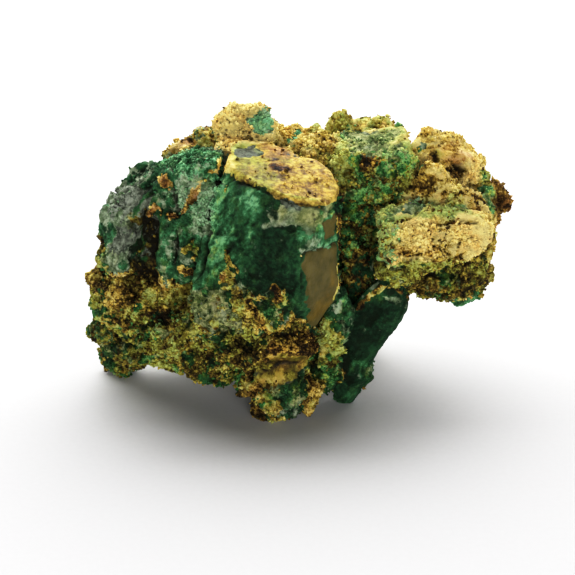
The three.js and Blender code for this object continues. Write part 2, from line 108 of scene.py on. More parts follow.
STRETCHES = {
    # The main crystal: its deep green faces, and the olive ones bare of crust.
    "main_left_face": stretch(
        (-6.3, -6.8, 20.5), (2.6, 3.0, 4.5), 2,
        bright=0.5, pale=0.08, deep=0.05, moss=0.25, druse=0.4),
    "main_middle_face": stretch((-1.4, -9.6, 18.4), (2.0, 2.0, 3.6), 3, bright=0.1, deep=0.8, druse=0.25),
    "main_lip": stretch(
        (-8.6, -7.8, 17.2), (1.4, 1.5, 2.0), 3,
        bright=0.48, pale=0.1, deep=0.3, moss=0.35, druse=0.4),
    "main_lower_face": stretch(
        (-7.2, -9.4, 12.6), (2.4, 2.0, 1.8), 4,
        ochre=0.36, brown=0.4, bright=0.35, pale=0.75, grey=0.25, deep=0.4, moss=0.7, druse=0.6,
        grain=0.45),
    "main_lower_right": stretch(
        (-2.4, -10.4, 13.2), (2.2, 1.6, 1.8), 6,
        ochre=0.42, brown=0.45, bright=0.25, pale=0.35, deep=0.3, moss=0.6, druse=0.4, grain=0.6),
    "main_pale_band": stretch(
        (0.6, -8.6, 22.0), (2.6, 1.2, 1.0), 4,
        ochre=0.22, brown=0.45, bright=0.25, pale=0.8, grey=0.3, moss=0.75, rust=0.3, deep=1.0, smooth=0.5),
    "main_pale_side": stretch(
        (1.0, -9.0, 20.6), (1.2, 1.0, 1.0), 4,
        bright=0.7, pale=0.4, deep=0.3, druse=0.4),
    "main_dark_edge": stretch(
        (0.4, -9.9, 15.4), (0.5, 0.8, 3.4), 8,
        bright=0.35, pale=0.15, deep=0.4, druse=0.3),
    "main_right_side": stretch(
        (4.4, -3.0, 19.0), (0.9, 2.4, 4.5), 7,
        ochre=0.48, brown=0.7, bright=0.35, moss=0.4, deep=0.6, layers=0.4, grain=0.5),
    "main_olive_face": stretch((2.3, -8.3, 15.4), (1.15, 1.6, 2.6), 30, olive=1.0, smooth=1.0),
    "olive_face_upper_corner": stretch((1.1, -9.4, 17.8), (0.8, 0.9, 1.0), 20, olive=1.0, smooth=1.0),
    "olive_face_golden_foot": stretch(
        (2.3, -8.0, 12.7), (1.2, 0.9, 0.8), 30,
        olive=1.0, rust=1.0, smooth=1.0),
    "main_small_olive_face": stretch((3.05, -7.4, 20.8), (0.5, 0.7, 0.75), 26, olive=1.0, smooth=1.0),
    "above_small_olive_face": stretch(
        (3.0, -7.5, 22.4), (1.2, 1.0, 0.6), 14,
        bright=0.6, pale=0.7, deep=0.1, moss=0.5),
    "left_of_small_olive_face": stretch(
        (1.9, -8.3, 21.0), (0.5, 0.6, 1.4), 14,
        bright=0.65, pale=0.45, deep=0.4, moss=0.3),
    "below_small_olive_face": stretch(
        (2.9, -7.6, 19.6), (0.8, 0.8, 0.3), 18,
        bright=0.6, pale=0.15, deep=0.35),
    # Its cap of ochre.
    "cap_right": stretch(
        (1.6, -4.6, 24.4), (2.6, 2.8, 1.3), 6,
        ochre=1.0, brown=-0.15, rust=-0.2, deep=1.4, pores=0.02, smooth=0.72),
    "cap_front": stretch(
        (-3.4, -4.2, 25.2), (2.0, 1.5, 1.0), 6,
        ochre=1.0, brown=-0.1, moss=0.7, rust=-0.2, deep=1.45, smooth=0.84),
    "cap_left_rim": stretch(
        (-6.4, -1.2, 25.7), (0.8, 1.7, 0.9), 9,
        ochre=1.0, moss=0.35, deep=0.5, pale=0.1, smooth=0.7),
    "cap_middle": stretch(
        (-1.9, -1.8, 25.3), (1.4, 0.7, 0.6), 6,
        ochre=0.9, brown=0.3, rust=0.35, moss=0.4, deep=0.9, smooth=0.7),
    "cap_olive_patch": stretch(
        (-4.9, -0.3, 25.7), (1.2, 1.2, 0.8), 26,
        ochre=0.26, brown=0.1, grey=0.8, pale=0.55, moss=0.9, rust=-0.2, deep=0.9, smooth=0.97),
    "cap_brown_patch": stretch(
        (-1.3, -3.0, 25.1), (0.95, 0.55, 0.5), 34,
        ochre=1.0, brown=0.6, rust=0.8, deep=0.5, smooth=0.3),
    "cap_orange_patch": stretch(
        (-2.4, 0.2, 25.5), (0.95, 0.95, 0.7), 30,
        ochre=1.0, rust=0.5, deep=1.0, smooth=0.85),
    "cap_grey_patch": stretch(
        (-0.9, 0.0, 25.3), (0.7, 0.4, 0.5), 14,
        ochre=0.55, brown=0.3, rust=0.5, deep=1.1, grey=0.8, pale=0.4, smooth=0.7),
    # The green shoulder beside it.
    "shoulder_top": stretch(
        (-10.4, -0.2, 24.8), (2.6, 2.2, 1.2), 4,
        bright=0.52, pale=0.3, deep=0.2, druse=1.0),
    "shoulder_front": stretch(
        (-10.8, -3.8, 22.3), (1.7, 1.4, 1.5), 3,
        ochre=0.04, bright=0.65, pale=0.8, deep=-0.6, druse=0.9),
    "shoulder_left": stretch(
        (-13.0, -3.0, 22.6), (1.3, 1.6, 1.3), 3,
        bright=0.45, pale=0.3, deep=0.3, druse=0.6),
    # A pale strip, made brighter and lighter still as painted light, for it lies in shade.
    "shoulder_right_strip": stretch(
        (-8.9, -4.6, 21.6), (1.0, 1.4, 2.4), 5,
        ochre=0.14, bright=0.95, pale=0.98, deep=-0.7, moss=0.15, druse=0.9),
    "shoulder_lower_face": stretch(
        (-11.4, -5.2, 18.4), (2.2, 1.4, 2.4), 3,
        ochre=0.05, bright=0.42, pale=0.3, deep=0.28, moss=0.2, druse=0.5),
    "notch": stretch(
        (-14.9, -3.0, 17.2), (1.3, 1.3, 3.0), 9,
        ochre=0.48, brown=0.85, bright=0.25, moss=0.9, rust=0.3, deep=0.5, pale=0.2, grey=0.5, smooth=0.3),
    "notch_head": stretch(
        (-14.2, -2.6, 22.0), (0.9, 1.2, 1.2), 6,
        ochre=0.1, brown=0.3, bright=0.35, pale=0.25, deep=0.35, grey=0.35, moss=0.4, druse=0.4),
    # The grey chunk at the left.
    "grey_upper": stretch(
        (-17.0, -0.8, 20.6), (1.8, 2.2, 1.9), 4,
        ochre=0.08, bright=0.3, pale=0.8, grey=0.62, deep=-0.5, moss=0.25, druse=0.5),
    "grey_top_rim": stretch(
        (-15.4, 0.5, 22.6), (1.6, 1.6, 0.8), 4,
        bright=0.3, pale=0.3, grey=0.35, deep=0.3, druse=0.5),
    "grey_lower": stretch(
        (-16.4, -3.9, 17.0), (1.0, 0.9, 1.4), 7,
        bright=0.2, deep=0.35, grey=0.62, pale=0.45, druse=0.3),
    "grey_green_edge": stretch(
        (-17.6, -3.4, 15.9), (1.5, 1.2, 1.3), 5,
        ochre=0.1, bright=0.4, pale=0.8, grey=0.4, moss=0.4, druse=0.3),
    "grey_dark_green_patch": stretch(
        (-18.5, -1.6, 17.6), (0.7, 0.8, 1.0), 10,
        bright=0.3, pale=0.1, deep=0.2, druse=0.5),
    # The granular crust below them.
    "flank": stretch(
        (-16.8, -3.6, 11.6), (3.6, 3.4, 2.6), 3,
        ochre=0.74, brown=0.5, bright=0.35, deep=0.25, moss=0.6, rust=0.35, grain=1.0),
    "flank_green_rim": stretch(
        (-19.4, -2.0, 9.4), (1.5, 1.8, 1.2), 8,
        ochre=0.25, brown=0.3, bright=0.45, pale=0.2, moss=0.9, grain=0.6),
    "flank_low": stretch(
        (-13.6, -5.4, 8.4), (3.2, 3.4, 2.4), 3,
        ochre=0.52, brown=0.35, bright=0.5, pale=0.42, deep=0.05, moss=0.95, grain=1.0),
    "flank_hollow": stretch(
        (-13.0, -5.2, 10.4), (0.8, 1.0, 0.9), 10,
        ochre=0.5, brown=1.0, deep=1.0, grain=0.8),
    "flank_middle": stretch(
        (-10.8, -6.8, 9.0), (2.6, 2.4, 2.2), 3,
        ochre=0.6, brown=0.3, bright=0.55, pale=0.42, moss=0.85, grain=0.9),
    "flank_beside_groove": stretch(
        (-12.0, -3.6, 11.4), (1.4, 1.2, 1.6), 5,
        ochre=0.7, brown=0.3, bright=0.5, pale=0.4, moss=0.6, grain=0.7),
    "left_knobs": stretch(
        (-18.6, -0.4, 4.6), (2.2, 2.4, 3.4), 5,
        ochre=0.48, brown=0.45, bright=0.35, pale=0.45, deep=0.75, moss=0.75, rust=0.2, grain=0.7),
    "lower_edge": stretch(
        (-8.6, -7.0, 6.2), (3.0, 2.4, 2.2), 3,
        ochre=0.5, brown=0.6, bright=0.4, pale=0.2, deep=0.25, moss=0.8, grain=0.9),
    "lower_middle": stretch(
        (-5.6, -8.6, 8.6), (2.4, 2.0, 1.8), 3,
        ochre=0.55, brown=0.65, bright=0.3, pale=0.25, deep=0.6, rust=0.2, moss=0.6, grain=0.9),
    "fringe": stretch(
        (-2.6, -10.0, 10.6), (3.4, 1.6, 1.1), 4,
        ochre=0.6, brown=0.45, bright=0.3, pale=0.35, deep=0.7, moss=0.9, rust=0.2, grain=0.55),
    "fringe_shade": stretch(
        (-0.8, -9.6, 9.6), (2.4, 1.4, 0.7), 10,
        ochre=0.8, brown=0.9, deep=0.6, rust=0.4, grain=0.8),
    # The knob under the middle.
    "knob_tan_patch": stretch(
        (-2.1, -10.0, 6.8), (1.4, 1.5, 1.1), 60,
        ochre=0.84, brown=0.15, grey=0.6, pale=0.5, moss=0.6, rust=0.35, deep=1.6, smooth=0.93),
    "knob": stretch(
        (-0.8, -9.4, 4.4), (1.8, 2.0, 1.4), 4,
        ochre=0.34, brown=0.4, bright=0.42, pale=0.4, deep=0.7, moss=0.7, grain=0.7),
    "knob_ochre_foot": stretch(
        (-2.5, -9.4, 2.6), (1.1, 1.2, 0.9), 8,
        ochre=0.75, brown=0.15, pale=0.4, bright=0.5, deep=0.35, moss=0.6, grain=0.9),
    "knob_dark_tip": stretch(
        (-4.2, -7.8, 0.9), (0.8, 1.0, 0.9), 12,
        ochre=0.8, brown=0.8, deep=0.8, moss=0.5, grain=0.4),
    "knob_green_foot": stretch(
        (0.0, -9.2, 2.4), (1.1, 1.2, 1.0), 9,
        ochre=0.15, bright=0.5, pale=0.4, deep=0.4, grain=0.5),
    "knob_dark_green": stretch(
        (-0.9, -10.1, 4.7), (0.6, 1.0, 0.6), 18,
        ochre=0.1, brown=0.4, bright=0.5, pale=0.2, deep=0.3, moss=0.3, grain=0.4),
    "knob_right_rim": stretch(
        (1.6, -8.0, 2.9), (0.6, 1.0, 1.5), 10,
        ochre=0.9, brown=0.4, moss=0.3, rust=0.2, deep=0.4, grain=0.5),
    "knob_left": stretch(
        (-4.6, -8.0, 3.8), (1.0, 1.2, 1.0), 9,
        ochre=0.8, brown=0.65, moss=0.4, rust=0.5, bright=0.5, deep=0.3, grain=0.7),
    "beside_knob": stretch(
        (3.2, -6.2, 5.0), (1.2, 1.6, 2.2), 4,
        ochre=0.35, brown=0.4, bright=0.5, moss=0.8, deep=0.4, pale=0.3, grain=0.8),
    "beside_knob_wedge": stretch(
        (3.8, -6.4, 8.0), (0.9, 1.2, 1.8), 8,
        ochre=0.72, brown=0.25, bright=0.5, moss=0.8, pale=0.4, grain=0.8),
    # The top.
    # Partly painted light: made lighter (deep below 0) also because its front slope faces away from the
    # light behind.
    "top_tablet": stretch(
        (-5.8, 4.0, 27.4), (2.2, 2.4, 1.9), 6,
        ochre=1.0, brown=0.05, pale=0.85, deep=-1.8, layers=1.2, pores=1.1, grain=0.5),
    # Painted light: made much lighter (deep below 0), for this green faces away from the light.
    "top_tablet_green": stretch(
        (-3.3, 4.1, 26.9), (0.6, 0.9, 0.55), 20,
        bright=1.0, pale=0.4, deep=-2.3, druse=1.0, grain=0.5),
    "top_ridge": stretch(
        (-10.2, 6.2, 24.0), (2.4, 2.4, 1.4), 4,
        ochre=0.62, brown=0.5, bright=0.4, pale=0.65, deep=0.35, moss=0.5, rust=0.25, grain=0.65),
    "saddle": stretch(
        (0.6, 4.8, 24.6), (3.0, 2.8, 1.4), 4,
        ochre=0.86, brown=0.3, bright=0.7, pale=0.4, moss=0.3, layers=0.4, grain=0.6, pores=0.9),
    "crest": stretch(
        (6.8, 8.4, 25.2), (3.6, 1.8, 1.1), 4,
        ochre=0.8, brown=0.25, bright=0.6, pale=0.35, moss=0.5, grain=0.65),
    # The green block and what is under it.
    "block_top": stretch(
        (7.6, 5.0, 24.9), (3.4, 2.6, 0.9), 5,
        ochre=0.33, brown=0.1, bright=0.65, pale=0.8, moss=0.8, druse=0.5),
    "block_front": stretch(
        (7.8, 1.2, 22.4), (3.8, 1.6, 2.0), 4,
        ochre=0.45, brown=0.42, bright=0.55, pale=0.34, deep=-0.15, moss=0.95, druse=1.0, grain=1.0),
    "block_left_edge": stretch(
        (4.2, 2.0, 23.2), (0.9, 1.6, 1.8), 5,
        ochre=0.7, brown=0.15, bright=0.6, pale=0.4, deep=-0.3, moss=0.7, druse=0.8, grain=0.7),
    "block_hole": stretch((7.3, 1.4, 24.0), (0.8, 0.9, 0.6), 14, ochre=0.8, brown=1.0, deep=1.0, grain=0.8),
    "hollow": stretch(
        (5.8, 1.2, 16.4), (1.8, 2.4, 3.2), 4,
        ochre=0.45, brown=0.7, bright=0.45, deep=0.05, moss=0.7, grain=0.8),
    "hollow_wall": stretch(
        (7.2, 2.4, 16.0), (1.2, 1.4, 1.8), 9,
        ochre=0.6, brown=0.35, bright=0.7, moss=0.6, deep=-0.4, grain=0.9),
    # The ochre crystals at the right.
    "upper_right": stretch(
        (15.6, 6.0, 24.0), (3.6, 2.6, 1.8), 5,
        ochre=1.0, brown=0.17, pale=0.2, deep=-0.5, layers=1.0, pores=1.0, grain=0.42),
    "upper_right_face": stretch(
        (16.3, 4.7, 23.9), (1.6, 1.2, 0.8), 30,
        ochre=1.0, pale=0.2, rust=0.7, deep=0.3, smooth=0.9),
    "upper_right_olive": stretch(
        (14.5, 3.7, 24.0), (0.9, 0.7, 0.6), 26,
        ochre=1.0, brown=0.1, moss=0.55, rust=0.35, deep=1.2, smooth=0.9),
    "upper_right_green": stretch(
        (12.1, 4.1, 24.7), (0.6, 0.8, 0.8), 12,
        ochre=0.3, pale=0.6, grey=0.4, bright=0.3, moss=0.6),
    "under_face_slot": stretch(
        (16.2, 3.0, 22.1), (1.5, 0.7, 0.6), 9,
        ochre=0.95, brown=0.6, rust=0.4, grain=0.6, pores=1.0),
    "sloping_plate": stretch(
        (15.4, 0.9, 21.4), (3.4, 1.2, 1.9), 5,
        ochre=0.97, brown=0.4, pale=0.25, deep=-0.5, layers=1.4, pores=1.1, grain=0.4),
    "plate_brown_end": stretch((12.6, 0.8, 22.2), (0.9, 0.9, 1.2), 8, ochre=0.9, brown=0.8, grain=0.6),
    "right_outer_slope": stretch(
        (17.6, 3.9, 21.8), (1.4, 1.8, 1.4), 8,
        ochre=1.0, brown=0.15, pale=0.4, deep=-1.6, layers=1.3, pores=1.0, grain=0.36),
    "right_green_edge": stretch(
        (19.0, 4.2, 20.6), (0.7, 1.2, 1.6), 8,
        bright=0.55, pale=0.25, ochre=0.45, brown=0.3, moss=0.8, druse=0.5, grain=0.5),
    "right_knob": stretch(
        (20.6, 5.0, 18.8), (0.9, 1.2, 1.6), 14,
        ochre=0.85, brown=0.55, bright=0.5, pale=0.4, deep=0.15, rust=0.6, grain=0.5),
    "finger_top": stretch(
        (12.6, -1.2, 20.1), (4.4, 1.6, 0.8), 6,
        ochre=0.6, brown=0.18, bright=0.85, pale=0.85, deep=-0.7, moss=0.75, layers=0.9, druse=0.5,
        grain=0.5),
    "finger_blue_patch": stretch(
        (11.2, -0.9, 20.2), (1.1, 1.0, 0.6), 14,
        ochre=0.1, bright=0.9, pale=0.9, grey=0.3, druse=0.5),
    "finger": stretch(
        (13.4, -4.0, 17.8), (5.0, 1.6, 1.4), 6,
        ochre=1.0, brown=0.27, pale=0.25, deep=-1.6, rust=-0.1, layers=1.9, pores=1.1, grain=0.35),
    "finger_tip": stretch(
        (18.0, -2.2, 17.4), (1.3, 1.2, 1.2), 8,
        ochre=1.0, pale=1.0, deep=-1.5, layers=0.7, pores=0.4, grain=0.05),
    # Painted light: made lighter (deep below 0), for this side of the finger lies in shade.
    "finger_root": stretch(
        (9.0, -4.2, 18.0), (1.3, 1.2, 1.9), 8,
        ochre=0.5, brown=0.38, bright=1.0, pale=0.5, deep=-1.7, moss=0.75, pores=0.4, grain=0.8),
    "under_finger": stretch(
        (12.0, -3.6, 14.6), (3.4, 1.6, 1.1), 5,
        ochre=0.62, brown=0.45, bright=0.38, pale=0.45, deep=0.75, moss=0.9, grain=0.6),
    "right_lower_mass": stretch(
        (16.0, -0.6, 11.6), (4.4, 2.6, 2.2), 4,
        ochre=0.66, brown=0.6, bright=0.34, pale=0.3, deep=0.35, moss=0.9, rust=0.2, grain=0.7, druse=0.4),
    "right_lower_tufts": stretch(
        (17.2, 0.2, 9.4), (1.6, 1.4, 0.9), 8,
        bright=0.55, pale=0.1, druse=0.9, grain=0.5),
    "right_lower_rim": stretch(
        (19.4, 2.6, 13.4), (0.8, 1.8, 1.8), 5,
        ochre=0.75, brown=0.35, bright=0.5, moss=0.5, grain=0.7),
    # The upright plates.
    "broad_plate": stretch(
        (8.2, -2.6, 8.2), (2.8, 1.4, 4.4), 5,
        ochre=0.1, brown=0.5, bright=0.12, pale=0.1, deep=0.9, druse=0.3, smooth=0.25),
    "broad_plate_tan_edge": stretch(
        (6.8, -2.6, 11.6), (1.6, 0.8, 1.1), 10,
        ochre=0.6, brown=0.4, moss=0.5, pale=0.5, smooth=0.5),
    "broad_plate_foot": stretch(
        (7.2, -3.3, 3.5), (0.9, 1.0, 1.0), 12,
        bright=0.5, pale=0.2, deep=0.5, moss=0.4, druse=0.6),
    "pale_plate": stretch(
        (4.4, -5.8, 9.8), (0.9, 1.2, 2.6), 8,
        ochre=0.1, bright=0.42, pale=0.2, deep=0.7, moss=0.3, druse=0.5),
    "small_plates": stretch(
        (5.2, -4.2, 2.4), (1.4, 1.2, 1.6), 12,
        bright=0.3, pale=0.15, deep=0.9, smooth=0.3),
    "inner_plate": stretch(
        (6.4, 0.2, 12.6), (1.6, 1.4, 2.6), 5,
        ochre=0.35, brown=0.7, bright=0.35, pale=0.1, deep=0.2, moss=0.6, grain=0.5, druse=0.4),
    # The back and the underside.
    # The back's stretches are made darker (deep) and browner, as painted shade against the strong light
    # that falls on it from behind.
    "rear_left": stretch(
        (-13.0, 9.6, 16.4), (4.0, 3.6, 5.0), 3,
        ochre=0.36, brown=0.7, bright=0.35, pale=0.3, deep=0.75, moss=0.7, druse=0.5, grain=0.3),
    "rear_grey": stretch(
        (-16.6, 6.4, 12.6), (2.2, 2.6, 3.4), 4,
        ochre=0.25, brown=0.6, bright=0.3, pale=0.3, grey=0.6, deep=0.8, moss=0.5, druse=0.3, grain=0.2),
    "rear_middle": stretch(
        (-1.6, 13.6, 17.4), (4.2, 3.0, 4.4), 4,
        ochre=0.3, brown=0.6, bright=0.3, pale=0.2, deep=0.9, moss=0.6, layers=0.3, druse=0.4, grain=0.15),
    "rear_middle_top": stretch(
        (-1.4, 10.4, 22.6), (3.6, 2.4, 1.2), 4,
        ochre=0.66, brown=0.65, bright=0.35, moss=0.55, rust=0.2, deep=1.2, pores=0.6, grain=0.5),
    "rear_crest": stretch(
        (6.8, 11.0, 23.8), (4.6, 2.0, 1.6), 4,
        ochre=0.68, brown=0.6, bright=0.4, pale=0.1, deep=1.1, moss=0.6, pores=0.6, grain=0.5),
    "rear_right": stretch(
        (9.0, 12.0, 17.0), (4.0, 2.6, 3.6), 3,
        ochre=0.62, brown=0.6, bright=0.4, pale=0.2, deep=0.9, moss=0.6, pores=0.6, grain=0.5),
    "rear_right_green": stretch(
        (11.6, 10.8, 13.0), (2.4, 2.4, 2.2), 3,
        ochre=0.42, brown=0.6, bright=0.35, pale=0.3, deep=0.8, moss=0.7, druse=0.7, grain=0.5),
    "rear_low": stretch(
        (-4.0, 12.6, 8.4), (5.6, 3.4, 2.8), 3,
        ochre=0.56, brown=0.6, bright=0.35, pale=0.25, deep=0.6, moss=0.6, grain=0.9),
    "rear_far_left_low": stretch(
        (-13.4, 7.8, 7.4), (3.6, 3.4, 2.8), 3,
        ochre=0.5, brown=0.6, bright=0.35, deep=0.6, moss=0.8, grain=0.9),
    "underside": stretch(
        (-2.0, 2.0, 2.6), (12.0, 8.0, 2.4), 2,
        ochre=0.5, brown=0.6, bright=0.3, pale=0.2, moss=0.6, grain=0.9),
    "rear_foot": stretch(
        (5.4, 8.8, 2.6), (2.6, 2.6, 2.6), 4,
        ochre=0.5, brown=0.5, bright=0.4, moss=0.6, grain=0.8),
}

STREAKS = {
    "shoulder_brown_clot": streak(
        0.65, (-12.9, -2.4, 23.8), (-12.4, -2.9, 23.4),
        ochre=1.0, brown=0.45, rust=0.9, deep=0.6, grain=0.7),
    "shoulder_brown_band": streak(
        0.45, (-9.9, -3.8, 22.9), (-10.6, -4.3, 21.7), (-11.1, -4.5, 21.1),
        ochre=1.0, brown=0.4, rust=0.85, deep=0.5, grain=0.7),
    "shoulder_brown_stalk": streak(
        0.3, (-8.9, -1.4, 25.1), (-9.2, -3.4, 24.0), (-9.9, -3.8, 22.9),
        ochre=1.0, brown=0.1, rust=0.7, pale=0.4, moss=0.3, grain=0.3),
    "shoulder_brown_curl": streak(
        0.28, (-9.0, -2.8, 24.6), (-7.8, -2.5, 24.7),
        ochre=1.0, brown=0.2, rust=0.7, moss=0.3, grain=0.4),
    "shoulder_left_band": streak(
        0.5, (-14.6, -3.3, 20.4), (-13.7, -3.4, 21.3), (-12.9, -3.9, 21.0), (-11.9, -4.3, 20.6),
        ochre=1.0, brown=0.45, rust=0.8, deep=0.5, grain=0.7),
    "cap_front_curl": streak(
        0.26, (-6.2, -3.6, 25.3), (-6.2, -4.4, 24.6), (-6.8, -5.0, 23.6),
        ochre=1.0, brown=0.1, rust=0.4, moss=0.4, grain=0.4),
    "pink_lump": streak(
        0.55, (-8.3, 0.9, 25.3), (-7.9, 1.1, 25.3),
        ochre=0.6, brown=0.1, rust=0.6, pale=1.0, grain=0.3),
    "yellow_loop": streak(
        0.4, (-10.9, -5.6, 17.6), (-10.2, -5.6, 18.3), (-9.6, -5.9, 17.2),
        ochre=0.55, brown=0.2, bright=0.6, pale=0.4, moss=1.0, deep=0.3, grain=0.7),
    "orange_clot": streak(
        0.4, (-10.1, -6.0, 16.9), (-9.8, -6.0, 16.6),
        ochre=0.9, brown=0.5, deep=0.4, grain=0.7),
    "brown_clot": streak(0.5, (-11.0, -6.0, 15.6), (-10.3, -6.1, 15.4), ochre=1.0, brown=0.6, grain=0.6),
    "whitish_spur": streak(
        0.5, (-12.5, -5.0, 15.4), (-12.5, -4.9, 13.8),
        ochre=0.2, pale=1.0, bright=0.6, moss=0.5, grain=0.3),
    "main_crumb_trail": streak(
        0.3, (-6.7, -8.3, 18.7), (-6.2, -8.9, 17.8), (-5.6, -9.4, 17.1),
        ochre=0.8, brown=0.35, moss=0.6, deep=0.5, grain=0.9),
    "main_ochre_streak": streak(
        1.25, (-6.3, -9.4, 16.2), (-5.6, -10.0, 15.0), (-4.7, -10.4, 13.7), (-3.9, -10.5, 12.2),
        (-2.9, -9.9, 10.6),
        ochre=0.66, brown=0.3, bright=0.3, pale=0.35, moss=0.6, deep=0.5, grain=0.7),
    "main_rust_line": streak(
        0.3, (-4.5, -10.4, 14.6), (-3.9, -10.7, 13.2), (-3.2, -10.6, 11.8), (-2.3, -9.8, 10.2),
        ochre=1.0, brown=0.9, rust=0.4, deep=0.5, grain=0.5),
    "main_clots": streak(
        0.5, (-2.0, -10.3, 15.8), (-1.8, -10.3, 14.7),
        ochre=1.0, brown=0.75, rust=0.5, deep=0.4, grain=0.9),
    "main_small_clots": streak(
        0.28, (-1.2, -10.2, 15.4), (-1.3, -10.2, 14.2),
        ochre=0.8, brown=0.1, moss=0.7, pale=0.3, deep=0.2, grain=0.8),
    "olive_face_rim": streak(
        0.17, (4.0, -5.6, 22.0), (4.0, -6.2, 16.0), (3.9, -6.5, 13.6), (3.1, -7.2, 12.0),
        ochre=0.8, brown=0.1, pale=0.6, moss=0.6, deep=0.8, smooth=0.6),
    "ledge_above_olive": streak(
        0.25, (0.3, -9.9, 19.4), (2.4, -8.2, 19.1), (3.8, -6.7, 19.1),
        bright=0.8, pale=0.6),
    "lead_spots": streak(
        0.5, (-1.1, -8.2, 23.7), (0.0, -8.4, 23.3),
        pale=0.5, grey=0.9, deep=0.3, rust=0.4, smooth=0.3),
    "plate_brown_line": streak(
        0.3, (12.6, 0.6, 23.2), (14.6, 0.9, 21.9), (16.4, 1.0, 20.6),
        ochre=1.0, brown=0.9, grain=0.5),
    "finger_seam": streak(
        0.2, (9.4, -3.4, 19.4), (13.0, -3.0, 19.4), (17.6, -1.8, 19.0),
        ochre=1.0, brown=0.7, grain=0.4),
    "ridge_pale_brown": streak(
        0.8, (-11.8, 5.0, 23.8), (-10.6, 5.4, 24.4),
        ochre=0.9, rust=0.5, pale=1.0, grain=0.6),
    "cap_rim": streak(
        0.2, (-4.6, -5.9, 24.9), (-2.6, -7.0, 24.7), (-0.4, -7.8, 24.1), (2.6, -7.4, 23.4),
        ochre=1.0, pale=0.4, deep=0.8, moss=0.5, smooth=0.3),
    "finger_lower_seam": streak(
        0.16, (12.5, -4.8, 15.9), (15.5, -4.2, 16.0), (17.8, -2.8, 16.6),
        ochre=1.0, brown=0.75, rust=0.5, grain=0.3),
    "finger_green": streak(
        0.42, (9.9, -4.4, 19.0), (11.2, -4.2, 18.9),
        bright=1.0, pale=0.4, druse=0.6, grain=0.7),
    "main_rust_clot": streak(
        0.3, (-7.4, -9.0, 16.7), (-7.0, -9.1, 16.6),
        ochre=1.0, brown=0.5, rust=0.7, grain=0.7),
    "main_edge_clot": streak(
        0.3, (0.2, -9.2, 11.9), (0.9, -8.6, 12.0),
        ochre=1.0, brown=0.1, moss=0.4, pale=0.4, grain=0.7),
    # A lighter green streak along the edge of a facet: partly bright malachite, partly painted highlight
    # where the edge catches the light.
    "main_light_streak": streak(
        0.3, (-5.6, -8.5, 20.4), (-6.8, -8.6, 18.8), (-8.2, -8.3, 17.2),
        bright=1.0, pale=0.45, druse=0.3),
    "plate_tan_ray": streak(
        0.42, (9.6, -3.8, 13.8), (8.8, -2.2, 12.6), (8.1, -2.3, 11.8), (7.3, -2.5, 11.2),
        (6.5, -2.6, 10.6),
        ochre=1.0, brown=0.5, moss=0.35, deep=0.1, layers=0.4, grain=0.4),
    "plate_second_ray": streak(
        0.45, (6.4, -2.7, 10.3), (6.0, -2.8, 9.8),
        ochre=1.0, brown=0.9, rust=0.4, deep=0.4, grain=0.4),
    "plate_pale_edge": streak(
        0.22, (8.8, -2.3, 11.2), (9.8, -2.2, 10.9), (10.5, -2.0, 11.0),
        bright=0.7, pale=0.9, moss=0.2),
    "leaf_pale_edge": streak(
        0.2, (3.9, -6.2, 3.0), (4.8, -5.6, 2.0), (5.6, -4.6, 1.2),
        bright=0.6, pale=0.9, moss=0.5),
    # Painted light: made much lighter (deep below 0), for this green faces away from the light.
    "tablet_green_band": streak(
        0.6, (-4.7, 4.4, 27.2), (-3.8, 4.2, 27.1), (-2.8, 4.1, 26.6),
        bright=1.0, pale=0.4, deep=-2.3, druse=1.0, grain=0.5),
    "plate_brown_block": streak(
        0.7, (9.8, -2.2, 12.4), (10.3, -2.1, 12.0),
        ochre=0.8, brown=0.7, moss=0.6, deep=0.5, grain=0.2),
    "pale_plate_crust": streak(
        0.5, (4.3, -5.9, 7.6), (4.9, -3.6, 5.7),
        ochre=1.0, brown=0.2, moss=0.5, grain=0.9),
    "pale_plate_chips": streak(0.22, (4.3, -5.7, 12.3), (3.9, -5.8, 11.1), bright=0.8, pale=1.0, deep=-0.6),
    "olive_face_golden_edge": streak(
        0.3, (3.5, -6.9, 18.6), (3.5, -6.9, 14.6), (3.0, -7.4, 13.2),
        olive=1.0, rust=0.9, smooth=1.0),
    "saddle_green_spots": streak(
        0.4, (-0.6, 4.0, 24.9), (0.4, 6.4, 25.1),
        ochre=0.1, bright=0.75, pale=0.35, druse=0.6, grain=0.6),
}

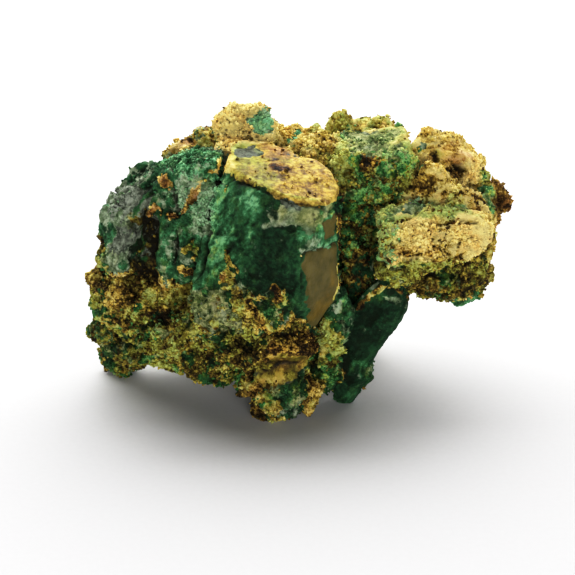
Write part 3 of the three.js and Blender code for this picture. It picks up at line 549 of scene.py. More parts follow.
CRACKS = {
    "beside_main_crystal": crack(
        0.34, 0.9, (-7.6, -3.6, 22.8), (-8.2, -4.8, 20.8), (-8.5, -6.1, 19.6), (-8.7, -7.1, 18.1),
        (-9.3, -7.8, 16.7), (-10.0, -7.9, 15.7)),
    "under_lip": crack(0.15, 0.15, (-5.9, -8.4, 19.9), (-7.4, -8.4, 17.6), (-9.4, -8.0, 15.3)),
    "across_shoulder": crack(0.22, 0.35, (-12.6, -4.0, 21.8), (-11.8, -4.2, 20.6), (-11.6, -4.8, 18.6)),
    "under_cap": crack(
        0.2, 0.3, (-5.6, -5.2, 24.6), (-3.4, -7.2, 24.7), (-0.4, -8.2, 23.7), (2.8, -7.9, 22.9)),
    "beside_olive_face": crack(0.16, 0.2, (0.55, -10.1, 19.0), (0.65, -10.1, 14.0)),
    "above_olive_face": crack(0.18, 0.25, (0.6, -10.0, 19.2), (2.2, -8.5, 19.0), (3.9, -6.6, 18.8)),
    "in_finger": crack(0.2, 0.35, (9.0, -4.0, 19.3), (13.0, -3.0, 19.3), (17.6, -1.8, 18.9)),
    "over_sloping_plate": crack(0.35, 0.6, (14.4, 2.6, 22.4), (16.4, 2.6, 21.4), (18.4, 3.4, 20.0)),
    "behind_main_crystal": crack(
        0.9, 0.6, (-7.0, 0.5, 24.6), (-7.3, -1.5, 23.6), (-7.9, -2.8, 21.9), (-8.3, -4.0, 20.6)),
    "down_shoulder": crack(0.36, 0.5, (-11.7, -1.2, 24.6), (-11.8, -3.2, 23.0), (-11.4, -4.4, 20.9)),
    "below_shoulder": crack(0.2, 0.4, (-11.5, -5.0, 19.6), (-11.7, -5.4, 16.8), (-12.0, -5.0, 13.8)),
    "finger_hole": crack(0.24, 0.7, (16.0, -3.3, 17.8), (16.0, -3.2, 17.8)),
    "finger_holes": crack(0.2, 0.5, (13.7, -4.2, 17.4), (13.5, -4.2, 17.5)),
    "finger_left_hole": crack(0.24, 0.5, (9.4, -4.6, 18.0), (9.6, -4.6, 18.1)),
    "top_pit_left": crack(0.24, 0.4, (-7.0, 3.0, 26.3), (-6.9, 3.0, 26.3)),
    "top_pit_right": crack(0.24, 0.4, (-5.5, 3.5, 26.6), (-5.2, 3.5, 26.5)),
    "beside_upper_right_face": crack(0.34, 0.5, (13.6, 3.3, 23.9), (13.9, 3.3, 23.4)),
    "below_upper_right_face": crack(0.5, 0.6, (15.8, 3.3, 22.6), (16.5, 3.4, 22.0)),
    "block_hole": crack(0.4, 0.7, (7.2, 1.2, 24.3), (7.5, 1.2, 24.0)),
    "below_upper_right_lens": crack(0.16, 0.3, (14.2, 3.4, 23.3), (16.0, 3.6, 22.9), (17.4, 4.2, 22.7)),
}


# ---- Repeatable unevenness ----------------------------------------------------------------------

# Soft noises: the size of the blobs, a seed, how many layers there are, and how strong each layer is
# against the one before.
NOISES = {
    "wander": (1.8, 40, 3, 0.5),
    "streak_edges": (1.1, 47, 4, 0.6),
    "crack_edges": (0.9, 71, 3, 0.5),
    "seams": (0.75, 151, 4, 0.62),
    "crumb_bends": (0.9, 61, 2, 0.5),
    "broad": (1.9, 3, 5, 0.65),
    "fine": (1.1, 11, 4, 0.62),
    "blotches": (1.4, 23, 4, 0.6),
    "fabric": (1.0, 31, 4, 0.6),
    "face_fabric": (1.0, 33, 3, 0.5),
    "hollows": (1.6, 81, 3, 0.5),
    "crust_ridges": (0.85, 87, 3, 0.6),
    "druse_ridges": (0.9, 101, 4, 0.65),
    "swell": (4.2, 5, 3, 0.5),
    "roughness": (1.1, 9, 4, 0.65),
    "ochre_clumps": (1.4, 201, 3, 0.5),
    "limonite_clumps": (1.1, 207, 3, 0.5),
    "malachite_clumps": (1.2, 211, 3, 0.5),
}
# Scattered cells: how far apart they are, and a seed.
CELLS = {
    "boulders": (2.5, 53),
    "lumps": (1.25, 51),
    "crumbs": (0.85, 57),
    "few_holes": (1.7, 91),
    "many_holes": (0.8, 93),
    "broad_chips": (4.4, 121),
    "splinters": (2.1, 141),
    "small_splinters": (1.0, 143),
}
# Seeds that give each cell a number of its own.
CELL_SEEDS = {"ochre": 17, "shade": 29, "boulder": 4, "lump": 5, "crumb": 6}
TILT_SEED = 7  # added to the seed of chips

SEAM_DIRECTION = (0.97, 0.2, -0.12)
FABRIC_DIRECTION = (0.5, 0.1, 0.86)  # the slanting streaks of the crystal faces
SPLINTER_DIRECTION = (0.3, 0.5, 0.8)

LOW_32_BITS = np.uint64(0xFFFFFFFF)
LOW_24_BITS = np.uint64(0xFFFFFF)
AXIS_PRIMES = (73856093, 19349663, 83492791)
SEED_PRIME = 2654435761
STIRRERS = (np.uint64(2246822519), np.uint64(3266489917))  # large odd numbers that mix the bits
LAYER_SHIFT = 17.3  # between the layers of a noise, so that their blobs don't line up
NOISE_REACH = 0.34  # how far most values of a soft noise are from 0.5
CHIP_TILT = 1.6  # how steeply chips lie


def hashed(cell, seed):
    """A number from 0 to 1 for each whole-numbered cell, always the same one."""
    steps = (cell.astype(np.int64) & int(LOW_32_BITS)).astype(np.uint64)
    x, y, z = (steps[:, axis] * prime for axis, prime in enumerate(AXIS_PRIMES))
    mixed = x ^ y ^ z ^ np.uint64(seed * SEED_PRIME % 2**32)
    mixed = (mixed & LOW_32_BITS) * STIRRERS[0]
    mixed = ((mixed ^ (mixed >> np.uint64(15))) & LOW_32_BITS) * STIRRERS[1]
    return ((mixed ^ (mixed >> np.uint64(16))) & LOW_24_BITS).astype(float) / float(LOW_24_BITS)


def smooth_noise(points, size, seed):
    """Soft noise from 0 to 1 whose blobs are about this size."""
    place = points / size
    cell = np.floor(place)
    part = place - cell
    part = part * part * (3 - 2 * part)
    total = np.zeros(len(points))
    for corner in np.ndindex(2, 2, 2):
        share = np.prod(np.where(corner, part, 1 - part), axis=1)
        total += share * hashed(cell + np.array(corner), seed)
    return total


def fractal_noise(points, size, seed, octaves, fade):
    """Layers of soft noise, each half the size of the one before, from 0 to 1."""
    layers = (
        fade**k * smooth_noise(points + LAYER_SHIFT * k, size / 2**k, seed + k) for k in range(octaves)
    )
    return sum(layers) / sum(fade**k for k in range(octaves))


def noise_at(points, name):
    """One of the named soft noises, from 0 to 1."""
    return fractal_noise(points, *NOISES[name])


def scattered_cells(points, size, seed):
    """The scattered point nearest to each place: its distance, the way to it, and its own cell.
    Distances are shares of the size."""
    place = points / size
    home = np.floor(place)
    nearest = np.full(len(points), np.inf)
    way = np.zeros(points.shape)
    owner = np.zeros(points.shape)
    for step in np.ndindex(3, 3, 3):
        cell = home + np.array(step) - 1
        spot = cell + np.stack([hashed(cell, seed + k) for k in range(3)], axis=1)
        gap = np.linalg.norm(place - spot, axis=1)
        closer = gap < nearest
        nearest = np.where(closer, gap, nearest)
        way[closer] = (place - spot)[closer]
        owner[closer] = cell[closer]
    return nearest, way, owner


def chips(points, name):
    """Broken facets of a named size, each tilted its own way, from -0.5 to 0.5."""
    size, seed = CELLS[name]
    _, way, owner = scattered_cells(points, size, seed)
    tilt = np.stack([hashed(owner, seed + TILT_SEED + k) - 0.5 for k in range(3)], axis=1)
    return np.clip((way * tilt).sum(axis=1) * CHIP_TILT, -0.5, 0.5)


def stretched(points, direction, factor):
    """The places squeezed along a direction, so that noise over them runs in streaks."""
    direction = np.array(direction) / np.linalg.norm(direction)
    return points - (1 - 1 / factor) * (points @ direction)[:, None] * direction


def eased(value, low, high):
    """0 below low, 1 above high, and smooth between."""
    t = np.clip((value - low) / (high - low), 0, 1)
    return t * t * (3 - 2 * t)


def evened(noise):
    """Stretches bell-shaped noise so that its values are spread more evenly from 0 to 1."""
    return np.clip(0.5 + (noise - 0.5) / NOISE_REACH * 0.5, 0, 1)


def ridged(noise):
    """1 along the lines where the noise crosses its middle, less on either side."""
    return 1 - np.abs(2 * noise - 1)


# ---- Where each mineral is ----------------------------------------------------------------------

FAINT = 1e-4  # the weight of the background, which only counts where no stretch reaches
BACKGROUND = 0.4  # its share of every quality
FALL_OFF = 1.6  # how fast a stretch fades past its reach
STRETCH_WANDER = 1.5  # how far the edges of stretches wander from side to side, in millimetres
STREAK_WANDER = 0.9  # and those of streaks
STREAK_CORE, STREAK_EDGE = 0.3, 1.3  # where a streak starts to fade and ends, as shares of its width


def distance_to_line(points, line):
    """How far each place is from a bent line."""
    gap = np.full(len(points), np.inf)
    for start, end in zip(line, line[1:]):
        a, b = np.array(start), np.array(end)
        along = np.clip(((points - a) @ (b - a)) / max((b - a) @ (b - a), 1e-9), 0, 1)
        gap = np.minimum(gap, np.linalg.norm(points - a - along[:, None] * (b - a), axis=1))
    return gap


def wandering(points):
    """A ragged shift for each place, from -0.5 to 0.5 along each axis."""
    size, seed, octaves, fade = NOISES["wander"]
    shifts = [fractal_noise(points, size, seed + k, octaves, fade) - 0.5 for k in range(3)]
    return np.stack(shifts, axis=1)


def blended_stretches(points):
    """Each quality's share at each place, blended from the stretches around it."""
    total = np.full(len(points), FAINT)
    found = {name: np.full(len(points), FAINT * BACKGROUND) for name in QUALITIES}
    for middle, reach, firmness, shares in STRETCHES.values():
        gap = ((points - np.array(middle)) / np.array(reach)) ** 2
        weight = firmness * np.exp(-FALL_OFF * gap.sum(axis=1))
        total += weight
        for name, share in shares.items():
            found[name] += weight * share
    return {name: value / total for name, value in found.items()}


def qualities_at(points):
    """Each quality's share at each place, with the streaks laid over the stretches."""
    wander = wandering(points)
    found = blended_stretches(points + wander * STRETCH_WANDER)
    close = points + wander * STREAK_WANDER
    ragged = evened(noise_at(points, "streak_edges")) - 0.42
    for line, width, shares in STREAKS.values():
        gap = distance_to_line(close, line) + ragged * width * STREAK_EDGE
        over = 1 - eased(gap, width * STREAK_CORE, width * STREAK_EDGE)
        for name in QUALITIES:
            found[name] = found[name] * (1 - over) + shares.get(name, 0) * over
    return found


def seams_at(points):
    """The long seams of the layered ochre, from 0 in a groove to 1 on a ridge."""
    return evened(noise_at(stretched(points, SEAM_DIRECTION, 4.5), "seams"))


def bent(points):
    """The places pushed about a little, so that crumbs aren't evenly round."""
    return points + (noise_at(points, "crumb_bends")[:, None] - 0.5) * 0.8


def cracks_at(points):
    """How far the cracks cut in at each place, in millimetres, and how dark they are painted there, as
    painted shade.
    """
    depth, dark = np.zeros(len(points)), np.zeros(len(points))
    ragged = (noise_at(points, "crack_edges") - 0.5) * 0.5
    for line, width, deep in CRACKS.values():
        inside = 1 - eased(distance_to_line(points, line) + ragged, width * 0.3, width * 1.5)
        depth = np.maximum(depth, deep * inside)
        dark = np.maximum(dark, inside * min(1.0, 0.4 + deep))
    return depth, dark


def covered(excess, softness):
    """From 0 to 1: how far a mineral covers each place, by how much its share beats the noise."""
    return eased(excess, -softness, softness)


def minerals_at(points, shares):
    """How much of each mineral covers each place, crumb by crumb where the crust is grainy."""
    grain = shares["grain"]
    _, _, crumb = scattered_cells(bent(points), *CELLS["crumbs"])
    broad, fine, blotches = (evened(noise_at(points, name)) for name in ("broad", "fine", "blotches"))
    fabric = evened(noise_at(stretched(points, FABRIC_DIRECTION, 3.0), "fabric"))
    broad = broad * (1 - 0.5 * grain) + hashed(crumb, CELL_SEEDS["ochre"]) * 0.5 * grain
    fine = fine * (1 - 0.45 * grain) + hashed(crumb, CELL_SEEDS["shade"]) * 0.45 * grain
    seams = shares["layers"] * (0.45 - seams_at(points))
    kept = {name: shares[name] for name in ("deep", "smooth", "grain", "druse", "pores")}
    return {
        "ochre": covered(shares["ochre"] - broad, 0.16),
        "brown": covered(shares["brown"] + seams - fine, 0.3),
        "bright": covered(shares["bright"] - (0.4 * blotches + 0.6 * fabric), 0.35),
        "pale": covered(shares["pale"] - fine, 0.3),
        "grey": covered(shares["grey"] - fabric, 0.2),
        "olive": eased(shares["olive"], 0.35, 0.6),
        "moss": covered(shares["moss"] - fabric, 0.3),
        "rust": covered(shares["rust"] - fine, 0.4),
        # Painted shade in the cracks.
        "crack": cracks_at(points)[1],
        **kept,
    }


# ---- How the surface stands out -----------------------------------------------------------------


def crust_relief(points, settings):
    """The crumbs, hollows and small lumps of the granular crust, in millimetres."""
    jostled = bent(points)
    to_boulder, _, boulder = scattered_cells(jostled, *CELLS["boulders"])
    to_lump, _, lump = scattered_cells(jostled, *CELLS["lumps"])
    to_crumb, _, crumb = scattered_cells(jostled, *CELLS["crumbs"])
    boulders = 1.5 * (0.5 - to_boulder) * (0.4 + hashed(boulder, CELL_SEEDS["boulder"]))
    lumps = 0.9 * (0.55 - to_lump) * (0.6 + 0.8 * hashed(lump, CELL_SEEDS["lump"]))
    balls = np.sqrt(np.clip(1 - (to_crumb / 0.78) ** 2, 0, 1))
    balls = balls * (0.5 + 0.8 * hashed(crumb, CELL_SEEDS["crumb"]))
    ridges = ridged(noise_at(points, "crust_ridges"))
    crumbs = balls - 0.6 + np.clip(ridges - 0.75, -0.6, 0.15) * 0.8
    hollows = eased(noise_at(points, "hollows"), 0.55, 0.68)
    height = (boulders + lumps) * settings.lump_height + crumbs * settings.crumb_height
    return height - hollows * settings.pit_depth


def pin_holes(points, settings):
    """The holes of the porous ochre, a few large and many small, in millimetres."""
    few, _, _ = scattered_cells(points, *CELLS["few_holes"])
    many, _, _ = scattered_cells(points, *CELLS["many_holes"])
    return ((1 - eased(few, 0.1, 0.24)) * 1.3 + (1 - eased(many, 0.12, 0.34)) * 0.6) * settings.pore_depth


def crystal_relief(points, shares, settings):
    """The uneven, chipped faces of the bare crystals, in millimetres."""
    fabric = noise_at(stretched(points, FABRIC_DIRECTION, 2.6), "face_fabric") - 0.5
    broken = chips(stretched(points, SPLINTER_DIRECTION, 1.7), "splinters")
    broken = broken + 0.4 * chips(points, "small_splinters")
    ridge = ridged(noise_at(points, "druse_ridges")) - 0.72
    height = chips(points, "broad_chips") * settings.facet_height
    height += fabric * settings.fabric_height
    height += shares["grey"] * broken * settings.fracture_height
    height += shares["druse"] * ridge * settings.druse_height
    return height


def relief_at(points, settings):
    """How far the surface stands out from the faceted solid at each place, in millimetres."""
    shares = qualities_at(points)
    ochre = minerals_at(points, shares)["ochre"]
    grain = shares["grain"]
    swell = (noise_at(points, "swell") - 0.5) * settings.swell * (0.35 + 0.65 * grain)
    rough = (noise_at(points, "roughness") - 0.5) * settings.roughness
    height = swell + rough + grain * crust_relief(points, settings)
    height += (1 - grain) * crystal_relief(points, shares, settings)
    height += shares["layers"] * (seams_at(points) - 0.5) * settings.seam_height
    height -= shares["pores"] * pin_holes(points, settings) * eased(ochre, 0.4, 0.8)
    height += eased(ochre, 0.35, 0.65) * settings.crust_thickness
    return height * (1 - 0.95 * shares["smooth"]) - cracks_at(points)[0]


# ---- Mesh helpers -------------------------------------------------------------------------------


def frame_to_layout(places):
    """Frame metres to millimetres from the foot of the main crystal."""
    return places / MM - FOOT_OF_MAIN_CRYSTAL


def vertex_places(mesh):
    places = np.empty(len(mesh.vertices) * 3)
    mesh.vertices.foreach_get("co", places)
    return places.reshape(-1, 3)


def vertex_normals(mesh):
    normals = np.empty(len(mesh.vertices) * 3)
    mesh.vertices.foreach_get("normal", normals)
    return normals.reshape(-1, 3)


def edge_ends(mesh):
    ends = np.empty(len(mesh.edges) * 2, np.int32)
    mesh.edges.foreach_get("vertices", ends)
    return ends.reshape(-1, 2)


def triangle_corners(mesh):
    mesh.calc_loop_triangles()
    corners = np.empty(len(mesh.loop_triangles) * 3, np.int32)
    mesh.loop_triangles.foreach_get("vertices", corners)
    return corners.reshape(-1, 3)


def unit(vectors):
    """The vectors, each one long."""
    return vectors / np.maximum(np.linalg.norm(vectors, axis=1, keepdims=True), 1e-9)


def move_vertices(mesh, places):
    mesh.vertices.foreach_set("co", places.ravel())
    mesh.update()


def store(mesh, name, values):
    """Keeps a number at each vertex under this name, for the materials."""
    layer = mesh.attributes.new(name, "FLOAT", "POINT")
    layer.data.foreach_set("value", np.asarray(values, np.float32))


def vertex_values(mesh, name):
    values = np.empty(len(mesh.vertices), np.float32)
    mesh.attributes[name].data.foreach_get("value", values)
    return values.astype(float)


def store_map(mesh, places):
    """Keeps the flat map: where each corner of each triangle lies on it, from 0 to 1."""
    layer = mesh.uv_layers.new(name=FLAT_MAP)
    layer.uv.foreach_set("vector", np.asarray(places, np.float32).ravel())


def shade_smooth(mesh):
    mesh.polygons.foreach_set("use_smooth", np.ones(len(mesh.polygons), bool))


def with_modifier(obj, kind, **options):
    """Applies a modifier, and gives the object the mesh that comes out of it."""
    modifier = obj.modifiers.new(kind.lower(), kind)
    for name, value in options.items():
        setattr(modifier, name, value)
    depsgraph = bpy.context.evaluated_depsgraph_get()
    made = bpy.data.meshes.new_from_object(obj.evaluated_get(depsgraph))
    obj.modifiers.clear()
    old = obj.data
    obj.data = made
    bpy.data.meshes.remove(old)
    made.name = obj.name


def neighbour_mean(values, edges, count):
    """The mean of each vertex's neighbours."""
    ends = np.concatenate([edges[:, 0], edges[:, 1]])
    others = np.concatenate([edges[:, 1], edges[:, 0]])
    number = np.maximum(np.bincount(ends, minlength=count), 1)
    return np.stack([np.bincount(ends, column[others], count) / number for column in values.T], axis=1)


def hollowness(mesh, rounds):
    """How far each vertex lies below its surroundings, in millimetres; more rounds look wider."""
    places, edges = vertex_places(mesh), edge_ends(mesh)
    smooth = places.copy()
    for _ in range(rounds):
        smooth = neighbour_mean(smooth, edges, len(places))
    return ((smooth - places) * vertex_normals(mesh)).sum(axis=1) / MM


# ---- The flat map of the stone ------------------------------------------------------------------

NORMAL_ROUNDS = 12  # how often the normals are averaged with their neighbours', before a patch is chosen
SHARE_ROUNDS = 24  # and how often the choice is
FACING_SHARPNESS = 3
BREADTHS = np.linspace(1.0, 1.5, 26)  # tried for the whole map, against a square of the patches' area


def facing(mesh, corners):
    """Which of six directions each triangle faces, evened over its surroundings: +X, +Y, +Z, -X,
    -Y or -Z, counted from 0."""
    edges, normals = edge_ends(mesh), vertex_normals(mesh)
    for _ in range(NORMAL_ROUNDS):
        normals = unit(normals + neighbour_mean(normals, edges, len(normals)))
    shares = np.maximum(np.concatenate([normals, -normals], axis=1), 0) ** FACING_SHARPNESS
    for _ in range(SHARE_ROUNDS):
        shares = 0.5 * shares + 0.5 * neighbour_mean(shares, edges, len(shares))
    return shares[corners].sum(axis=1).argmax(axis=1)


def touching(corners, count):
    """The pairs of triangles that share an edge."""
    sides = np.concatenate([corners[:, [0, 1]], corners[:, [1, 2]], corners[:, [2, 0]]])
    ends = np.sort(sides, axis=1)
    key = ends[:, 0].astype(np.int64) * count + ends[:, 1]
    order = np.argsort(key, kind="stable")
    same = key[order][1:] == key[order][:-1]
    owner = order % len(corners)
    return owner[:-1][same], owner[1:][same]


def patches(label, first, second):
    """A number for each triangle, the same all over a connected patch with one label."""
    joined = label[first] == label[second]
    first, second = first[joined], second[joined]
    root = np.arange(len(label))
    while True:
        low = np.minimum(root[first], root[second])
        lower = np.arange(len(label))
        np.minimum.at(lower, root[first], low)
        np.minimum.at(lower, root[second], low)
        while (lower[lower] != lower).any():
            lower = lower[lower]
        if (lower[root] == root).all():
            return np.unique(root, return_inverse=True)[1]
        root = lower[root]


def shelved(sizes, breadth):
    """Where each box goes when they stand in rows this broad, tallest first, and the rows' height."""
    spots = np.zeros(sizes.shape)
    x = y = row = 0.0
    for k in np.argsort(-sizes[:, 1], kind="stable"):
        if x > 0 and x + sizes[k, 0] > breadth:
            x, y, row = 0.0, y + row, 0.0
        spots[k] = x, y
        x, row = x + sizes[k, 0], max(row, sizes[k, 1])
    return spots, y + row


def tightest(sizes):
    """The side of the smallest square map that takes the boxes in rows, and the rows' breadth."""
    square = np.sqrt(sizes.prod(axis=1).sum())
    return min((max(breadth, shelved(sizes, breadth)[1]), breadth) for breadth in square * BREADTHS)


def seen_straight_on(places, label):
    """The triangles' corners as seen from the side that each faces, in two measures."""
    across, up = np.array([(1, 2), (0, 2), (0, 1)])[label % 3].T
    measures = [np.take_along_axis(places, axis[:, None, None], 2)[..., 0] for axis in (across, up)]
    return np.stack(measures, axis=2)


def lay_flat(mesh):
    """Gives the stone a map on which each patch of it is seen straight on and has its own box."""
    corners = triangle_corners(mesh)
    label = facing(mesh, corners)
    patch = patches(label, *touching(corners, len(mesh.vertices)))
    flat = seen_straight_on(vertex_places(mesh)[corners] / MM, label)
    low, high = (np.full((patch.max() + 1, 2), value) for value in (np.inf, -np.inf))
    np.minimum.at(low, patch, flat.min(axis=1))
    np.maximum.at(high, patch, flat.max(axis=1))
    sizes = high - low + 2 * MAP_GAP_MM
    side, breadth = tightest(sizes)
    spots = shelved(sizes, breadth)[0]
    store_map(mesh, (flat + (spots - low + MAP_GAP_MM)[patch][:, None]) / side)


# ---- Material helpers ---------------------------------------------------------------------------


class Recipe:
    """A material being put together from nodes."""

    def __init__(self, name):
        self.material = bpy.data.materials.new(name)
        self.material.use_nodes = True
        self.tree = self.material.node_tree
        self.shader = self.tree.nodes["Principled BSDF"]
        self.place = self.node("ShaderNodeNewGeometry").outputs["Position"]

    def node(self, kind, **options):
        made = self.tree.nodes.new(kind)
        for name, value in options.items():
            setattr(made, name, value)
        return made

    def feed(self, socket, value):
        """Links an output, or sets a plain value."""
        if isinstance(value, bpy.types.NodeSocket):
            self.tree.links.new(value, socket)
        else:
            socket.default_value = value

    def attribute(self, name):
        return self.node("ShaderNodeAttribute", attribute_name=name).outputs["Fac"]

    def attributes(self, *names):
        return (self.attribute(name) for name in names)

    def math(self, operation, *values, clamp=False):
        made = self.node("ShaderNodeMath", operation=operation, use_clamp=clamp)
        for socket, value in zip(made.inputs, values):
            self.feed(socket, value)
        return made.outputs[0]

    def plus(self, first, second, clamp=False):
        return self.math("ADD", first, second, clamp=clamp)

    def minus(self, first, second, clamp=False):
        return self.math("SUBTRACT", first, second, clamp=clamp)

    def times(self, first, second):
        return self.math("MULTIPLY", first, second)

    def most(self, first, second, clamp=False):
        return self.math("MAXIMUM", first, second, clamp=clamp)

    def mean(self, first, second):
        return self.times(self.plus(first, second), 0.5)

    def towards(self, value, target, share, clamp=False):
        """A value moved towards another by a share."""
        return self.plus(value, self.times(self.minus(target, value), share), clamp=clamp)

    def texture(self, kind, size_mm, place=None, **numbers):
        """A texture whose blobs or cells are about this many millimetres across."""
        made = self.node(kind)
        self.feed(made.inputs["Vector"], place if place else self.place)
        made.inputs["Scale"].default_value = 1 / (size_mm * MM)
        for name, value in numbers.items():
            made.inputs[name].default_value = value
        return made

    def noise(self, size_mm, detail=4.0, roughness=0.55, place=None):
        """Noise from 0 to 1 whose blobs are about this many millimetres across."""
        numbers = {"Detail": detail, "Roughness": roughness}
        return self.texture("ShaderNodeTexNoise", size_mm, place, **numbers).outputs["Fac"]

    def drawn_out(self, size_mm, factor, detail):
        """Noise drawn out into slanting streaks that run up to the right."""
        made = self.node("ShaderNodeMapping", vector_type="TEXTURE")
        self.feed(made.inputs["Vector"], self.place)
        made.inputs["Rotation"].default_value = (0.1, math.radians(32), 0)
        made.inputs["Scale"].default_value = (1, 1, factor)
        return self.noise(size_mm, detail, 0.62, made.outputs[0])

    def veins(self, size_mm, width):
        """1 along thin wandering lines this far apart, 0 between them."""
        middle = self.math("ABSOLUTE", self.minus(self.noise(size_mm, 5), 0.5))
        return self.spread(middle, width, 0.0)

    def net(self, size_mm):
        """1 along the lines of a wandering net whose meshes are about this wide, 0 inside them."""
        sway = self.texture("ShaderNodeTexNoise", size_mm / 1.4)
        swayed = self.node("ShaderNodeVectorMath", operation="MULTIPLY_ADD")
        self.feed(swayed.inputs[0], sway.outputs["Color"])
        swayed.inputs[1].default_value = (size_mm * MM,) * 3
        self.feed(swayed.inputs[2], self.place)
        lines = self.texture("ShaderNodeTexVoronoi", size_mm, swayed.outputs[0])
        lines.feature = "DISTANCE_TO_EDGE"
        return self.spread(lines.outputs["Distance"], 0.22, 0.04)

    def cells(self, size_mm):
        """How far each place is from the middle of its cell, as a share of the cells' size."""
        return self.texture("ShaderNodeTexVoronoi", size_mm).outputs["Distance"]

    def crumbs(self, size_mm):
        """A number from 0 to 1 for each crumb about this many millimetres across."""
        parts = self.node("ShaderNodeSeparateColor")
        self.feed(parts.inputs[0], self.texture("ShaderNodeTexVoronoi", size_mm).outputs["Color"])
        return parts.outputs[0]

    def bump(self, height, distance, strength):
        made = self.node("ShaderNodeBump")
        made.inputs["Strength"].default_value = strength
        made.inputs["Distance"].default_value = distance
        self.feed(made.inputs["Height"], height)
        self.feed(self.shader.inputs["Normal"], made.outputs["Normal"])

    def spread(self, value, low, high, to_low=0.0, to_high=1.0):
        """Maps low..high smoothly to to_low..to_high."""
        made = self.node("ShaderNodeMapRange", interpolation_type="SMOOTHSTEP")
        names = ("Value", "From Min", "From Max", "To Min", "To Max")
        for name, number in zip(names, (value, low, high, to_low, to_high)):
            self.feed(made.inputs[name], number)
        return made.outputs["Result"]

    def mix(self, share, first, second, blend="MIX"):
        made = self.node("ShaderNodeMix", data_type="RGBA", blend_type=blend)
        for socket, value in zip((made.inputs[0], made.inputs[6], made.inputs[7]), (share, first, second)):
            self.feed(socket, value)
        return made.outputs[2]

    def ragged(self, share, noise, strength, softness):
        """A patch's share, with its edges broken up by noise."""
        rough = self.plus(share, self.times(self.minus(noise, 0.5), strength))
        return self.spread(rough, 0.5 - softness, 0.5 + softness)

    def weighed(self, start, *terms):
        """A value with shares of others added on."""
        for other, amount in terms:
            start = self.plus(start, self.times(other, amount))
        return start

    def tinted(self, share, coat, tint):
        """The coat, multiplied towards a tint by a share."""
        return self.mix(share, coat, self.mix(1.0, coat, (*tint, 1), "MULTIPLY"))


def colour(settings, name):
    return (*getattr(settings, name), 1.0)


def ramp(recipe, hues, value, *stops):
    """Runs through named hues, each at its own place from 0 to 1."""
    made = recipe.node("ShaderNodeValToRGB")
    made.color_ramp.interpolation = "LINEAR"
    elements = made.color_ramp.elements
    while len(elements) < len(stops):
        elements.new(0.5)
    for element, (place, name) in zip(elements, stops):
        element.position = place
        element.color = colour(hues, name)
    recipe.feed(made.inputs["Fac"], value)
    return made.outputs["Color"]


# ---- Coats and materials ------------------------------------------------------------------------

OCHRE_RUN = (
    (0.05, "earth_and_shade"),
    (0.2, "dark_limonite"),
    (0.36, "limonite"),
    (0.5, "gold"),
    (0.66, "ochre"),
    (0.9, "straw"),
)
GREEN_RUN = (
    (0.05, "night_green"),
    (0.26, "dark_malachite"),
    (0.48, "malachite"),
    (0.7, "bright_malachite"),
    (0.92, "pale_green"),
)
LEAD_RUN = ((0.05, "dark_lead"), (0.5, "lead_grey"), (0.95, "bleached_lead"))
FILM_RUN = ((0.0, "thin_film"), (0.36, "film"), (0.8, "bleached"))
OLIVE_RUN = ((0.38, "olive"), (0.6, "tan_olive"))

# What a coat's colour is multiplied by, as red, green and blue.
ORANGE_STAIN = (1.0, 0.79, 0.6)
RUST = (0.56, 0.4, 0.5)
MOSS_IN_OCHRE = (0.52, 0.78, 0.62)
OCHRE_DUST = (2.6, 1.25, 0.6)
MOSS_IN_GREEN = (1.0, 0.98, 0.6)
MOSS_IN_FILM = (1.1, 0.95, 0.62)
GOLD_IN_OLIVE = (1.4, 1.15, 0.55)
DENT_SHADE = (0.22, 0.3, 0.22)
DEEP_SHADE = (0.2, 0.2, 0.2)

DULLNESS = 0.18  # every mineral's specular level


def mottle(recipe):
    """Large and small unevenness in one, from 0 to 1."""
    mixed = recipe.weighed(0.0, (recipe.noise(2.0, 6, 0.62), 0.45), (recipe.noise(0.5, 5, 0.65), 0.55))
    return recipe.spread(mixed, 0.37, 0.63)


def ochre_coat(recipe, hues, tone, share):
    """Ochre and limonite, stained orange in places, rusty in some and mossy in others."""
    # share.hollow darkens the ochre as painted shade with some dirt; the painted light of raised places
    # lightens it.
    value = recipe.weighed(
        0.41,
        (tone, 0.52),
        (share.brown, -0.42),
        (share.pale, 0.2),
        (share.deep, -0.2),
        (share.hollow, -0.3),
        (share.crown, 0.12),
    )
    yellow = ramp(recipe, hues, value, *OCHRE_RUN)
    stain = recipe.times(recipe.spread(recipe.noise(1.5, 4), 0.48, 0.64), 0.5)
    yellow = recipe.tinted(stain, yellow, ORANGE_STAIN)
    yellow = recipe.tinted(share.rust, yellow, RUST)
    return recipe.tinted(recipe.times(share.moss, 0.85), yellow, MOSS_IN_OCHRE)


def green_coat(recipe, hues, tone, share):
    """Malachite, dusted with ochre in places and bleached in others."""
    # share.hollow darkens the green as painted shade with some dirt; the painted light of raised places
    # lightens it.
    value = recipe.weighed(
        0.08,
        (tone, 0.54),
        (share.bright, 0.42),
        (share.deep, -0.32),
        (share.hollow, -0.32),
        (share.crown, 0.16),
    )
    green = ramp(recipe, hues, value, *GREEN_RUN)
    dusty = recipe.spread(recipe.noise(0.8, 4, 0.6), 0.48, 0.66)
    dusty = recipe.times(dusty, recipe.weighed(0.2, (share.moss, 0.7)))
    green = recipe.tinted(dusty, green, OCHRE_DUST)
    green = recipe.tinted(recipe.times(share.moss, 0.9), green, MOSS_IN_GREEN)
    film = recipe.tinted(share.moss, ramp(recipe, hues, tone, *FILM_RUN), MOSS_IN_FILM)
    return recipe.mix(recipe.times(share.pale, 0.85), green, film)


def stone_textures(recipe):
    """The fine unevenness that the stone's colours and roughness are made of."""
    speck = recipe.minus(recipe.noise(0.22, 4, 0.7), 0.5)
    sparkle = recipe.minus(recipe.crumbs(0.24), 0.5)
    return SimpleNamespace(
        fine=recipe.noise(0.42, 5, 0.65),
        gaps=recipe.cells(0.4),
        streaks=recipe.drawn_out(0.45, 3.5, 6),
        specks=recipe.times(speck, recipe.attribute("pores")),
        sparkles=recipe.times(sparkle, recipe.attribute("druse")),
    )


